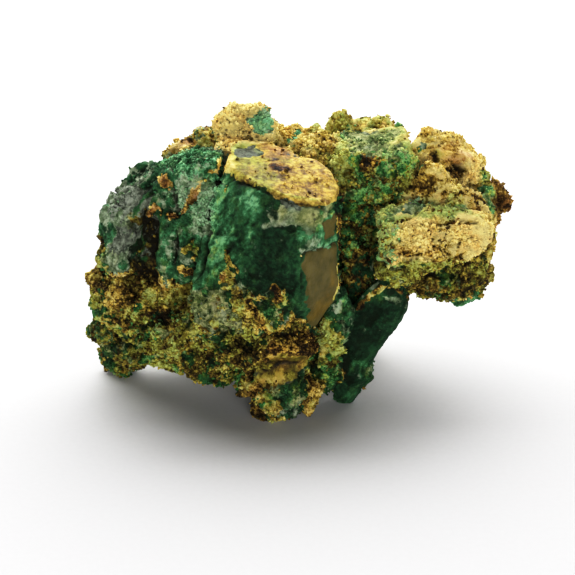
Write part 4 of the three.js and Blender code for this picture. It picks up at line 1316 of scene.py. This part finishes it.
def stone_shares(recipe, texture):
    """How far each mineral covers each place, with edges as ragged as the mineral's are."""
    share = SimpleNamespace()
    for name in ("moss", "rust", "deep", "smooth", "grain", "druse", "pores"):
        setattr(share, name, recipe.attribute(name))
    patchy = recipe.weighed(recipe.times(texture.fine, 0.8), (recipe.crumbs(0.42), 0.2))
    share.ochre = recipe.ragged(recipe.attribute("ochre"), patchy, 1.2, 0.16)
    share.brown = recipe.ragged(recipe.attribute("brown"), texture.fine, 0.9, 0.35)
    brushed = recipe.mean(texture.fine, texture.streaks)
    share.bright = recipe.ragged(recipe.attribute("bright"), brushed, 1.5, 0.35)
    net = recipe.times(recipe.minus(recipe.net(0.8), 0.35), share.druse)
    bleached = recipe.weighed(recipe.attribute("pale"), (net, 0.6))
    share.pale = recipe.ragged(bleached, recipe.noise(1.3, 6, 0.62), 2.0, 0.2)
    share.grey = recipe.ragged(recipe.attribute("grey"), texture.fine, 1.4, 0.2)
    share.olive = recipe.spread(recipe.attribute("olive"), 0.4, 0.6)
    return share


def add_painted_shade_and_light(recipe, share, texture):
    """Painted shade and light: share gets dents and pin holes, darkened as painted shade; hollow, painted
    shade with some dirt where the surface lies low, between crumbs and in pin holes; and the painted light
    of raised places.
    """
    # Painted shade in the gaps between crumbs.
    between = recipe.times(recipe.spread(texture.gaps, 0.3, 0.62), share.grain)
    # Pricks in the druse, tinted darker as painted shade, and dark veins in the grey.
    pricks = recipe.times(recipe.spread(recipe.cells(0.9), 0.34, 0.1), share.druse)
    veins = recipe.times(recipe.veins(1.6, 0.03), recipe.most(share.grey, 0.35))
    share.dents = recipe.most(pricks, recipe.times(veins, 0.8))
    # Pin holes, painted dark as painted shade.
    share.holes = recipe.times(recipe.spread(recipe.cells(0.72), 0.33, 0.14), share.pores)
    # Painted shade, with some dirt, where the surface lies below its surroundings.
    below = recipe.spread(recipe.attribute("hollow"), 0.0, 0.32)
    share.hollow = recipe.most(recipe.most(below, recipe.times(between, 0.4)), share.holes)
    # Painted light where the surface stands above its surroundings.
    share.crown = recipe.spread(recipe.attribute("hollow"), -0.02, -0.2)


def stone_tone(recipe, share, texture):
    """How light each place is within its mineral's run of hues: mottled where it is crusted,
    brushed in slanting streaks where it is bare, and evener where it is worn smooth."""
    tone = recipe.plus(mottle(recipe), recipe.times(recipe.veins(0.9, 0.025), 0.3), clamp=True)
    tone = recipe.weighed(tone, (texture.specks, 2.3), (texture.sparkles, 0.5))
    sleek = recipe.minus(1.0, recipe.most(share.grain, recipe.attribute("ochre")), clamp=True)
    brushed = recipe.weighed(-0.25, (tone, 0.5), (texture.streaks, 1.0))
    tone = recipe.towards(tone, brushed, sleek, clamp=True)
    return recipe.towards(tone, 0.5, recipe.times(share.smooth, 0.6))


def stone_colour(recipe, hues, share, texture):
    """Green or lead-grey crystal under ochre, smooth olive crystal, and a dark brown in the hollows and
    cracks, as painted shade with some dirt.
    """
    tone = stone_tone(recipe, share, texture)
    green = green_coat(recipe, hues, tone, share)
    lead = ramp(recipe, hues, recipe.minus(tone, recipe.times(share.deep, 0.35)), *LEAD_RUN)
    bare = recipe.tinted(share.dents, recipe.mix(share.grey, green, lead), DENT_SHADE)
    coated = recipe.mix(share.ochre, bare, ochre_coat(recipe, hues, tone, share))
    cloud = recipe.weighed(0.0, (recipe.noise(1.6, 5), 0.7), (texture.streaks, 0.3))
    olive = recipe.tinted(share.rust, ramp(recipe, hues, cloud, *OLIVE_RUN), GOLD_IN_OLIVE)
    coated = recipe.mix(share.olive, coated, olive)
    # Painted shade, with some dirt: hollows, gaps between crumbs, cracks and pin holes are darkened towards
    # the dark brown.
    dark = recipe.most(recipe.times(share.hollow, 0.42), recipe.times(recipe.attribute("crack"), 0.85))
    dark = recipe.most(dark, recipe.times(share.holes, 0.6), clamp=True)
    return recipe.mix(dark, coated, colour(hues, "earth_and_shade"))


def stone_roughness(recipe, share, texture):
    """Bumps too fine for the mesh, and a dull shine, both less where the stone is worn smooth."""
    dull = recipe.spread(texture.fine, 0.3, 0.7, 0.6, 0.9)
    recipe.feed(recipe.shader.inputs["Roughness"], recipe.minus(dull, recipe.times(share.smooth, 0.3)))
    recipe.shader.inputs["Specular IOR Level"].default_value = DULLNESS
    rough = recipe.weighed(
        0.0,
        (recipe.noise(0.3, 5, 0.7), 1.0),
        (texture.gaps, -0.45),
        (share.dents, -0.7),
        (share.holes, -0.9),
        (texture.streaks, 0.5),
        (texture.specks, 1.2),
        (texture.sparkles, 0.4),
    )
    unworn = recipe.minus(1.0, recipe.times(share.smooth, 0.9))
    recipe.bump(recipe.times(rough, unworn), 0.25 * MM, 1.0)


def stone_material(hues):
    """The whole surface: green under ochre, with bare grey and smooth olive faces."""
    recipe = Recipe("crusted_bournonite")
    texture = stone_textures(recipe)
    share = stone_shares(recipe, texture)
    add_painted_shade_and_light(recipe, share, texture)
    recipe.feed(recipe.shader.inputs["Base Color"], stone_colour(recipe, hues, share, texture))
    stone_roughness(recipe, share, texture)
    return recipe.material


def crumb_tone(recipe):
    """The mottling of the surface under a crumb, shifted by the crumb's own tone."""
    own = recipe.times(recipe.minus(recipe.attribute("tone"), 0.5), 0.5)
    return recipe.plus(mottle(recipe), own, clamp=True)


def finish_crumbs(recipe, coat):
    """Colours a crumb, with painted shade where it lies deep, and roughens it."""
    # Painted shade on crumbs that lie in hollows.
    sunk = recipe.times(recipe.spread(recipe.attribute("hollow"), 0.05, 0.4), 0.8)
    recipe.feed(recipe.shader.inputs["Base Color"], recipe.tinted(sunk, coat, DEEP_SHADE))
    recipe.shader.inputs["Roughness"].default_value = 0.8
    recipe.shader.inputs["Specular IOR Level"].default_value = DULLNESS
    recipe.bump(recipe.noise(0.12, 3), 0.1 * MM, 0.7)
    return recipe.material


def ochre_material(hues):
    """Straw to golden ochre crumbs."""
    recipe = Recipe("ochre_crumb")
    brown, moss, rust, pale, deep = recipe.attributes("brown", "moss", "rust", "pale", "deep")
    share = SimpleNamespace(brown=recipe.times(brown, 0.7), moss=moss, rust=rust, pale=pale, deep=deep)
    # Crumbs take no painted shade of hollows in their coat, and some painted light as raised things.
    share.hollow, share.crown = 0.0, 0.3
    return finish_crumbs(recipe, ochre_coat(recipe, hues, crumb_tone(recipe), share))


def limonite_material(hues):
    """Brown to nearly black limonite crumbs."""
    recipe = Recipe("limonite_crumb")
    # Crumbs take no painted shade of hollows in their coat, and some painted light as raised things.
    share = SimpleNamespace(brown=0.75, pale=0.0, deep=0.0, hollow=0.0, crown=0.3)
    share.moss, share.rust = (recipe.times(part, 0.5) for part in recipe.attributes("moss", "rust"))
    return finish_crumbs(recipe, ochre_coat(recipe, hues, crumb_tone(recipe), share))


def malachite_material(hues):
    """Dark to bright malachite crumbs."""
    recipe = Recipe("malachite_crumb")
    bright, pale, deep, moss = recipe.attributes("bright", "pale", "deep", "moss")
    share = SimpleNamespace(bright=bright, pale=recipe.times(pale, 0.7), deep=deep, moss=moss)
    # Crumbs take no painted shade of hollows in their coat, and some painted light as raised things.
    share.hollow, share.crown = 0.0, 0.5
    return finish_crumbs(recipe, green_coat(recipe, hues, crumb_tone(recipe), share))


# ---- Settings -----------------------------------------------------------------------------------


def hue(name, description, *red_green_blue):
    """A colour setting."""
    kind = dict(size=3, min=0, max=1, subtype="COLOR")
    return FloatVectorProperty(name=name, description=description, default=red_green_blue, **kind)


def length(name, description, millimetres):
    """A length setting, kept in millimetres."""
    kind = dict(min=0, soft_max=5, precision=3)
    return FloatProperty(name=name, description=description, default=millimetres, **kind)


def amount(name, description, default, **kind):
    """A setting that is never negative."""
    return FloatProperty(name=name, description=description, default=default, min=0, **kind)


def tally(name, description, default):
    """A setting in whole numbers."""
    return IntProperty(name=name, description=description, default=default, min=0)


class SPECIMEN_PG_hues(bpy.types.PropertyGroup):
    night_green: hue("Night green", "Malachite in the deepest patches", 0.007, 0.024, 0.009)
    dark_malachite: hue("Dark malachite", "Deep green", 0.016, 0.064, 0.025)
    malachite: hue("Malachite", "The main green", 0.038, 0.138, 0.05)
    bright_malachite: hue("Bright malachite", "Fresh green crust", 0.078, 0.265, 0.115)
    pale_green: hue("Pale green", "The palest malachite", 0.27, 0.57, 0.31)
    thin_film: hue("Thin film", "Bleached film where it is thin", 0.07, 0.11, 0.045)
    film: hue("Film", "Bleached film over the green", 0.215, 0.285, 0.155)
    bleached: hue("Bleached", "Whitish film where it is thick", 0.55, 0.61, 0.45)
    # Also the colour of the painted shade in hollows, cracks and pin holes.
    earth_and_shade: hue("Earth", "In pits and cracks", 0.013, 0.009, 0.003)
    dark_limonite: hue("Dark limonite", "The darkest brown", 0.055, 0.03, 0.006)
    limonite: hue("Limonite", "Brown in the crust", 0.19, 0.115, 0.026)
    gold: hue("Golden brown", "Between limonite and ochre", 0.4, 0.272, 0.049)
    ochre: hue("Ochre", "The main crust", 0.71, 0.53, 0.12)
    straw: hue("Straw", "Pale ochre", 0.94, 0.785, 0.325)
    lead_grey: hue("Lead grey", "Bare bournonite", 0.215, 0.25, 0.18)
    dark_lead: hue("Dark lead", "Bare bournonite in shade", 0.055, 0.058, 0.045)
    bleached_lead: hue("Bleached lead", "Bare bournonite, weathered pale", 0.44, 0.48, 0.39)
    olive: hue("Olive", "Smooth face", 0.092, 0.08, 0.02)
    tan_olive: hue("Tan olive", "Smooth face, lighter", 0.155, 0.128, 0.038)


class SPECIMEN_PG_relief(bpy.types.PropertyGroup):
    fineness: length("Fineness", "The size of the finished mesh's faces", 0.2)
    swell: length("Swell", "Slow unevenness of every face", 1.1)
    roughness: length("Roughness", "Fine unevenness of every face", 0.34)
    lump_height: length("Lump height", "How far the lumps of the granular crust stand out", 0.75)
    crumb_height: length("Crumb height", "How far its crumbs stand out", 0.42)
    pit_depth: length("Pit depth", "How deep its hollows are", 0.7)
    pore_depth: length("Pore depth", "How deep the pin holes of the ochre are", 0.5)
    seam_height: length("Seam height", "How far the seams of the layered ochre stand out", 0.55)
    facet_height: length("Facet height", "How much the broad chips of a crystal face tilt", 0.5)
    fabric_height: length("Fabric height", "How far the slanting streaks of a face stand out", 0.3)
    fracture_height: length("Fracture height", "How much the broken grey face is splintered", 1.6)
    druse_height: length("Druse height", "How far the fine green roughness stands out", 1.1)
    crust_thickness: length("Crust thickness", "How thick the ochre lies on the green", 0.13)
    most_faces: tally("Most faces", "The stone is thinned to this many triangles", 196000)


class SPECIMEN_PG_grains(bpy.types.PropertyGroup):
    half_width: length("Crumb size", "Half the width of a crumb", 0.13)
    spread: amount("Spread", "How much the crumbs differ in size", 0.35, max=1)
    ochre_count: tally("Ochre crumbs", "How many crumbs of ochre", 24800)
    limonite_count: tally("Limonite crumbs", "How many crumbs of limonite", 20000)
    malachite_count: tally("Malachite crumbs", "How many crumbs of malachite", 24800)
    seed: tally("Seed", "Which of the possible scatterings is used", 7)


class SPECIMEN_PG_stage(bpy.types.PropertyGroup):
    table: hue("Table", "The surface the stone lies on", 0.71, 0.705, 0.71)
    overhead: amount("Overhead light", "The soft light above and behind, in watts", 12.4)
    front: amount("Front light", "The soft light in front, in watts", 1.8)
    surroundings: amount("Surroundings", "How bright the white wall low around the table is", 1.0)
    distance: amount("Camera distance", "From the stone to the camera", 0.25, unit="LENGTH")
    elevation: amount("Camera elevation", "Its angle above the table", math.radians(25), subtype="ANGLE")
    focal_length: amount("Focal length", "Of the camera's lens, in millimetres", 156.5)


# ---- The stone ----------------------------------------------------------------------------------

FACET_ROUNDS = 2  # how often the finer mesh is smoothed, so that the solid's facets don't show
OUTWARD_ROUNDS = 3  # and how often its normals are, before the surface is pushed along them
HOLLOW_SCALES = ((3, 0.6), (12, 0.4), (45, 0.35))  # rounds of smoothing, and what each one counts


def finer_copy(fineness):
    """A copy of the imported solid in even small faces, its edges eased, and its vertices' places."""
    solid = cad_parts[NODE]
    stone = bpy.data.objects.new("stone", solid.data.copy())
    bpy.context.scene.collection.objects.link(stone)
    stone.matrix_world = solid.matrix_world
    stone.data.materials.clear()
    with_modifier(stone, "REMESH", mode="VOXEL", voxel_size=fineness * MM)
    edges, places = edge_ends(stone.data), vertex_places(stone.data)
    for _ in range(FACET_ROUNDS):
        places = 0.5 * places + 0.5 * neighbour_mean(places, edges, len(places))
    move_vertices(stone.data, places)
    return stone, places


def push_out(mesh, places, relief):
    """Pushes the surface out and in by mineral, never through the table. Each vertex remembers
    where it was, because the minerals are laid out on the surface before it moved."""
    edges, outward = edge_ends(mesh), vertex_normals(mesh)
    for _ in range(OUTWARD_ROUNDS):
        outward = unit(neighbour_mean(outward, edges, len(places)) + outward)
    layout = frame_to_layout(places)
    for axis, values in zip("xyz", layout.T):
        store(mesh, "home_" + axis, values)
    places = places + outward * relief_at(layout, relief)[:, None] * MM
    places[:, 2] = np.maximum(places[:, 2], 0)
    move_vertices(mesh, places)


def grown_stone(relief):
    """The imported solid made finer, roughened by mineral and thinned where it is smooth."""
    stone, places = finer_copy(relief.fineness)
    push_out(stone.data, places, relief)
    with_modifier(stone, "TRIANGULATE")
    faces = len(stone.data.polygons)
    if faces > relief.most_faces:
        with_modifier(stone, "DECIMATE", ratio=relief.most_faces / faces)
    return stone


def store_minerals(mesh):
    """Keeps the share of each mineral at each vertex, and how hollow it lies."""
    layout = np.stack([vertex_values(mesh, "home_" + axis) for axis in "xyz"], axis=1)
    for name, values in minerals_at(layout, qualities_at(layout)).items():
        store(mesh, name, values)
    # How hollow each vertex lies drives the painted shade in hollows and the painted light on raised
    # places.
    store(mesh, "hollow", sum(weight * hollowness(mesh, rounds) for rounds, weight in HOLLOW_SCALES))


class SPECIMEN_OT_stone(bpy.types.Operator):
    """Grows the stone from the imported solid"""

    bl_idname = "specimen.stone"
    bl_label = "Grow the stone"

    def execute(self, context):
        stone = grown_stone(context.scene.specimen_relief)
        store_minerals(stone.data)
        stone.data.materials.append(stone_material(context.scene.specimen_hues))
        shade_smooth(stone.data)
        lay_flat(stone.data)
        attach(stone, "root")
        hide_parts(NODE)
        return {"FINISHED"}


# ---- The grains ---------------------------------------------------------------------------------

# An eight-sided crumb, one unit from middle to corner, and where its corners lie in a map cell.
CRUMB_CORNERS = np.array([(1, 0, 0), (-1, 0, 0), (0, 1, 0), (0, -1, 0), (0, 0, 1), (0, 0, -1)], float)
UPPER_FACES = [(0, 2, 4), (2, 1, 4), (1, 3, 4), (3, 0, 4)]
LOWER_FACES = [(2, 0, 5), (1, 2, 5), (3, 1, 5), (0, 3, 5)]
CRUMB_FACES = np.array(UPPER_FACES + LOWER_FACES)
CRUMB_MAP = np.array([(0, 0), (1, 1), (1, 0), (0, 1), (0.5, 0.5), (0.5, 0.5)])
CELL_MARGIN = 0.1  # left free around a crumb on the map, as a share of its cell

CRUMB_SMALLEST, CRUMB_LARGEST = 0.4, 2.4  # as shares of the usual half width
LENGTHENED = 0.7  # how unevenly far a crumb's corners are from its middle
SKEWED = 0.35  # how far they are shifted sideways
SMALLEST_GIRTH, GIRTH_RANGE = 0.6, 0.8  # how flat or long a crumb is along each axis
SUNK = 0.25  # how far below the surface a crumb's middle may lie, as a share of its half width
RARELY = 1e-6  # how likely a crumb is where its mineral isn't
MALACHITE_SIZE = 0.85  # of its crumbs, against the others
STONE_SHARES = ("brown", "bright", "pale", "deep", "moss", "rust", "hollow")  # that a crumb takes on


def surface_spots(mesh, weight, count, chance):
    """Random places on a mesh, closer together where the weight is higher: the places, the way out
    there and the nearby vertices."""
    corners, places = triangle_corners(mesh), vertex_places(mesh)
    a, b, c = (places[corners[:, k]] for k in range(3))
    area = np.linalg.norm(np.cross(b - a, c - a), axis=1)
    likely = area * weight[corners].mean(axis=1)
    chosen = chance.choice(len(corners), count, p=likely / likely.sum())
    u, v = chance.random(count), chance.random(count)
    over = u + v > 1
    u[over], v[over] = 1 - u[over], 1 - v[over]
    spots = a[chosen] + u[:, None] * (b - a)[chosen] + v[:, None] * (c - a)[chosen]
    vertices = corners[chosen, 0]
    return spots, vertex_normals(mesh)[vertices], vertices


def turned_at_random(count, chance):
    """That many random rotations, as matrices made from four-part unit vectors."""
    w, x, y, z = unit(chance.normal(size=(count, 4))).T
    rows = (
        (1 - 2 * (y * y + z * z), 2 * (x * y - z * w), 2 * (x * z + y * w)),
        (2 * (x * y + z * w), 1 - 2 * (x * x + z * z), 2 * (y * z - x * w)),
        (2 * (x * z - y * w), 2 * (y * z + x * w), 1 - 2 * (x * x + y * y)),
    )
    return np.stack([np.stack(row, axis=1) for row in rows], axis=1)


def uneven_bodies(radius, chance):
    """Each crumb's corners around its own middle: uneven, flat or long, and turned any way."""
    count, corners = len(radius), len(CRUMB_CORNERS)
    bodies = CRUMB_CORNERS * (1 + LENGTHENED * (chance.random((count, corners, 1)) - 0.5))
    bodies = bodies + SKEWED * (chance.random((count, corners, 3)) - 0.5)
    bodies = bodies * (SMALLEST_GIRTH + GIRTH_RANGE * chance.random((count, 1, 3)))
    bodies = bodies * radius[:, None, None]
    return np.einsum("nij,nkj->nki", turned_at_random(count, chance), bodies)


def map_crumbs(mesh, count):
    """Gives each crumb its own cell of the flat map, its upper half below its lower half."""
    half = np.array([(0, 0)] * len(UPPER_FACES) + [(0, 1)] * len(LOWER_FACES))
    within = CELL_MARGIN + (1 - 2 * CELL_MARGIN) * CRUMB_MAP[CRUMB_FACES] + half[:, None]
    columns = math.ceil(math.sqrt(2 * count))
    rows = math.ceil(count / columns)
    home = np.stack([np.arange(count) % columns, 2 * (np.arange(count) // columns)], axis=1)
    store_map(mesh, (home[:, None, None] + within) / (columns, 2 * rows))


def mesh_of(name, places, corners):
    """A mesh of triangles, shaded smooth."""
    mesh = bpy.data.meshes.new(name)
    mesh.vertices.add(len(places))
    mesh.vertices.foreach_set("co", places.ravel())
    mesh.loops.add(len(corners) * 3)
    mesh.loops.foreach_set("vertex_index", corners.ravel())
    mesh.polygons.add(len(corners))
    mesh.polygons.foreach_set("loop_start", np.arange(len(corners)) * 3)
    shade_smooth(mesh)
    mesh.update(calc_edges=True)
    return mesh


def grain_mesh(name, spots, outward, radius, chance):
    """One mesh of many uneven crumbs, each partly sunk in the surface."""
    count, around = len(spots), len(CRUMB_CORNERS)
    bodies = uneven_bodies(radius, chance)
    middles = spots + outward * MM * (radius * (chance.random(count) - SUNK))[:, None]
    places = (middles[:, None] + bodies * MM).reshape(-1, 3)
    places[:, 2] = np.maximum(places[:, 2], 0)
    corners = (CRUMB_FACES[None] + around * np.arange(count)[:, None, None]).reshape(-1, 3)
    mesh = mesh_of(name, places, corners)
    store(mesh, "tone", np.repeat(chance.random(count), around))
    map_crumbs(mesh, count)
    return mesh


def scatter_grains(context, name, material, weight, count, size=1.0):
    """Scatters crumbs over the stone, gives each the shares of its spot, and rides them on it."""
    settings = context.scene.specimen_grains
    stone = bpy.data.objects["stone"].data
    chance = np.random.default_rng([settings.seed, *name.encode()])
    spots, outward, vertices = surface_spots(stone, weight, count, chance)
    usual = settings.half_width * size
    radius = usual * np.exp(settings.spread * chance.normal(size=count))
    radius = np.clip(radius, CRUMB_SMALLEST * usual, CRUMB_LARGEST * usual)
    mesh = grain_mesh(name, spots, outward, radius, chance)
    for share in STONE_SHARES:
        store(mesh, share, np.repeat(vertex_values(stone, share)[vertices], len(CRUMB_CORNERS)))
    mesh.materials.append(material(context.scene.specimen_hues))
    grains = bpy.data.objects.new(name, mesh)
    context.scene.collection.objects.link(grains)
    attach(grains, "root")


def stone_values(*names):
    """The stone's mesh, and its shares under these names."""
    mesh = bpy.data.objects["stone"].data
    return mesh, *(vertex_values(mesh, name) for name in names)


def clumped(mesh, name):
    """From 0 to 1 over the stone, so that grains gather in clumps."""
    return eased(noise_at(frame_to_layout(vertex_places(mesh)), name), 0.4, 0.6)


class SPECIMEN_OT_ochre_grains(bpy.types.Operator):
    """Scatters ochre grains over the ochre crust"""

    bl_idname = "specimen.ochre_grains"
    bl_label = "Scatter ochre grains"

    def execute(self, context):
        mesh, ochre, brown, grain, pores = stone_values("ochre", "brown", "grain", "pores")
        feel = np.maximum(grain, 0.7 * pores)
        weight = ochre * (1.1 - brown) * (0.03 + feel) * clumped(mesh, "ochre_clumps") + RARELY
        count = context.scene.specimen_grains.ochre_count
        scatter_grains(context, "ochre_grains", ochre_material, weight, count)
        return {"FINISHED"}


class SPECIMEN_OT_limonite_grains(bpy.types.Operator):
    """Scatters limonite grains over the browner crust"""

    bl_idname = "specimen.limonite_grains"
    bl_label = "Scatter limonite grains"

    def execute(self, context):
        mesh, ochre, brown, grain, smooth = stone_values("ochre", "brown", "grain", "smooth")
        weight = ochre * (0.1 + brown) * (0.01 + grain) * (1 - smooth)
        weight = weight * clumped(mesh, "limonite_clumps") + RARELY
        count = context.scene.specimen_grains.limonite_count
        scatter_grains(context, "limonite_grains", limonite_material, weight, count)
        return {"FINISHED"}


class SPECIMEN_OT_malachite_grains(bpy.types.Operator):
    """Scatters malachite grains over the rough green"""

    bl_idname = "specimen.malachite_grains"
    bl_label = "Scatter malachite grains"

    def execute(self, context):
        names = ("ochre", "druse", "grain", "smooth", "bright")
        mesh, ochre, druse, grain, smooth, bright = stone_values(*names)
        feel = 0.7 * grain + eased(druse, 0.4, 0.9)
        weight = (1 - ochre) * (1 - smooth) * (0.2 + bright) * feel
        weight = weight * clumped(mesh, "malachite_clumps") + RARELY
        count = context.scene.specimen_grains.malachite_count
        scatter_grains(context, "malachite_grains", malachite_material, weight, count, MALACHITE_SIZE)
        return {"FINISHED"}


# ---- The stage ----------------------------------------------------------------------------------

TABLE_REACH = 0.45  # from its middle to its edges
OVERHEAD_PLACE, OVERHEAD_SIZE = (-0.03, 0.38, 0.4), (1.3, 0.7)
FRONT_PLACE, FRONT_SIZE = (0.05, -0.55, 0.14), (0.35, 0.35)
AIM_MM = (-0.85, 0.0, 11.0)  # where the camera looks, from the foot of the main crystal
SENSOR_WIDTH = 36
WALL_FADE = (0.1, 0.16)  # how high the white wall starts to fade and ends, as a rise per length
TONE_CURVE = ((0.06, 0.038), (0.16, 0.13), (0.4, 0.43), (0.7, 0.79))
FAINTLY_DARKER = 0.98  # the paper's tooth


def link_object(name, data):
    obj = bpy.data.objects.new(name, data)
    bpy.context.scene.collection.objects.link(obj)
    return obj


def soft_light(name, place, size, power):
    """A flat lamp at a place, turned towards the middle of the table."""
    lamp = bpy.data.lights.new(name, "AREA")
    lamp.shape = "RECTANGLE"
    lamp.size, lamp.size_y = size
    lamp.energy = power
    obj = link_object(name, lamp)
    obj.location = place
    obj.rotation_euler = (-Vector(place)).to_track_quat("-Z", "Y").to_euler()


def give_contrast(view):
    """Deepens the shadows and lifts the lights a little."""
    view.use_curve_mapping = True
    for point in TONE_CURVE:
        view.curve_mapping.curves[3].points.new(*point)
    view.curve_mapping.update()


def paper_material(tint):
    """Matt white paper with a faint tooth."""
    recipe = Recipe("paper")
    tooth = recipe.spread(recipe.noise(0.6, 4), 0.3, 0.7)
    darker = (*(part * FAINTLY_DARKER for part in tint), 1.0)
    recipe.feed(recipe.shader.inputs["Base Color"], recipe.mix(tooth, (*tint, 1.0), darker))
    recipe.shader.inputs["Roughness"].default_value = 0.95
    recipe.shader.inputs["Specular IOR Level"].default_value = 0.1
    return recipe.material


def lay_table(tint):
    table = bpy.data.meshes.new("table")
    corners = [(x * TABLE_REACH, y * TABLE_REACH, 0) for x, y in ((-1, -1), (1, -1), (1, 1), (-1, 1))]
    table.from_pydata(corners, [], [(0, 1, 2, 3)])
    table.materials.append(paper_material(tint))
    link_object("table", table)


def low_white_wall(brightness):
    """A room that is white up to a little above the table's far edge, and dark above."""
    world = bpy.data.worlds.new("room")
    world.use_nodes = True
    tree = world.node_tree
    way = tree.nodes.new("ShaderNodeSeparateXYZ")
    tree.links.new(tree.nodes.new("ShaderNodeTexCoord").outputs["Generated"], way.inputs[0])
    fade = tree.nodes.new("ShaderNodeMapRange")
    tree.links.new(way.outputs["Z"], fade.inputs["Value"])
    names = ("From Min", "From Max", "To Min", "To Max")
    for name, value in zip(names, (*WALL_FADE, brightness, 0.0)):
        fade.inputs[name].default_value = value
    background = tree.nodes["Background"]
    background.inputs["Color"].default_value = (1, 1, 1, 1)
    tree.links.new(fade.outputs["Result"], background.inputs["Strength"])
    return world


def place_camera(scene, stage):
    """Looks down at the stone from the front."""
    aim = Vector((FOOT_OF_MAIN_CRYSTAL + np.array(AIM_MM)) * MM)
    back = Vector((0, -math.cos(stage.elevation), math.sin(stage.elevation)))
    camera = bpy.data.cameras.new("camera")
    camera.lens = stage.focal_length
    camera.sensor_width = SENSOR_WIDTH
    camera.clip_start = 0.01
    eye = link_object("camera", camera)
    turned = (-back).to_track_quat("-Z", "Y").to_matrix().to_4x4()
    eye.matrix_world = Matrix.Translation(aim + back * stage.distance) @ turned
    scene.camera = eye


class SPECIMEN_OT_stage(bpy.types.Operator):
    """Lays the table, hangs the lights and places the camera"""

    bl_idname = "specimen.stage"
    bl_label = "Set the stage"

    def execute(self, context):
        scene, stage = context.scene, context.scene.specimen_stage
        lay_table(tuple(stage.table))
        soft_light("overhead", OVERHEAD_PLACE, OVERHEAD_SIZE, stage.overhead)
        soft_light("front", FRONT_PLACE, FRONT_SIZE, stage.front)
        scene.world = low_white_wall(stage.surroundings)
        scene.view_settings.view_transform = "Standard"
        give_contrast(scene.view_settings)
        place_camera(scene, stage)
        return {"FINISHED"}


# ---- The panel and the steps --------------------------------------------------------------------


class SPECIMEN_PT_panel(bpy.types.Panel):
    """The specimen's settings and steps"""

    bl_label = "Bournonite specimen"
    bl_idname = "SPECIMEN_PT_panel"
    bl_space_type = "VIEW_3D"
    bl_region_type = "UI"
    bl_category = "Specimen"

    def draw(self, context):
        for group in GROUPS:
            box = self.layout.box()
            settings = getattr(context.scene, group)
            for name in type(settings).__annotations__:
                box.prop(settings, name)
        for step in STEPS:
            self.layout.operator(step.bl_idname)


GROUPS = {
    "specimen_hues": SPECIMEN_PG_hues,
    "specimen_relief": SPECIMEN_PG_relief,
    "specimen_grains": SPECIMEN_PG_grains,
    "specimen_stage": SPECIMEN_PG_stage,
}
STEPS = (
    SPECIMEN_OT_stone,
    SPECIMEN_OT_ochre_grains,
    SPECIMEN_OT_limonite_grains,
    SPECIMEN_OT_malachite_grains,
    SPECIMEN_OT_stage,
)
CLASSES = (*GROUPS.values(), *STEPS, SPECIMEN_PT_panel)


def register():
    for item in CLASSES:
        bpy.utils.register_class(item)
    for name, group in GROUPS.items():
        setattr(bpy.types.Scene, name, PointerProperty(type=group))


def unregister():
    for name in GROUPS:
        delattr(bpy.types.Scene, name)
    for item in reversed(CLASSES):
        bpy.utils.unregister_class(item)


def main():
    register()
    bpy.ops.specimen.stone()
    bpy.ops.specimen.ochre_grains()
    bpy.ops.specimen.limonite_grains()
    bpy.ops.specimen.malachite_grains()
    bpy.ops.specimen.stage()


if __name__ == "__main__":
    main()
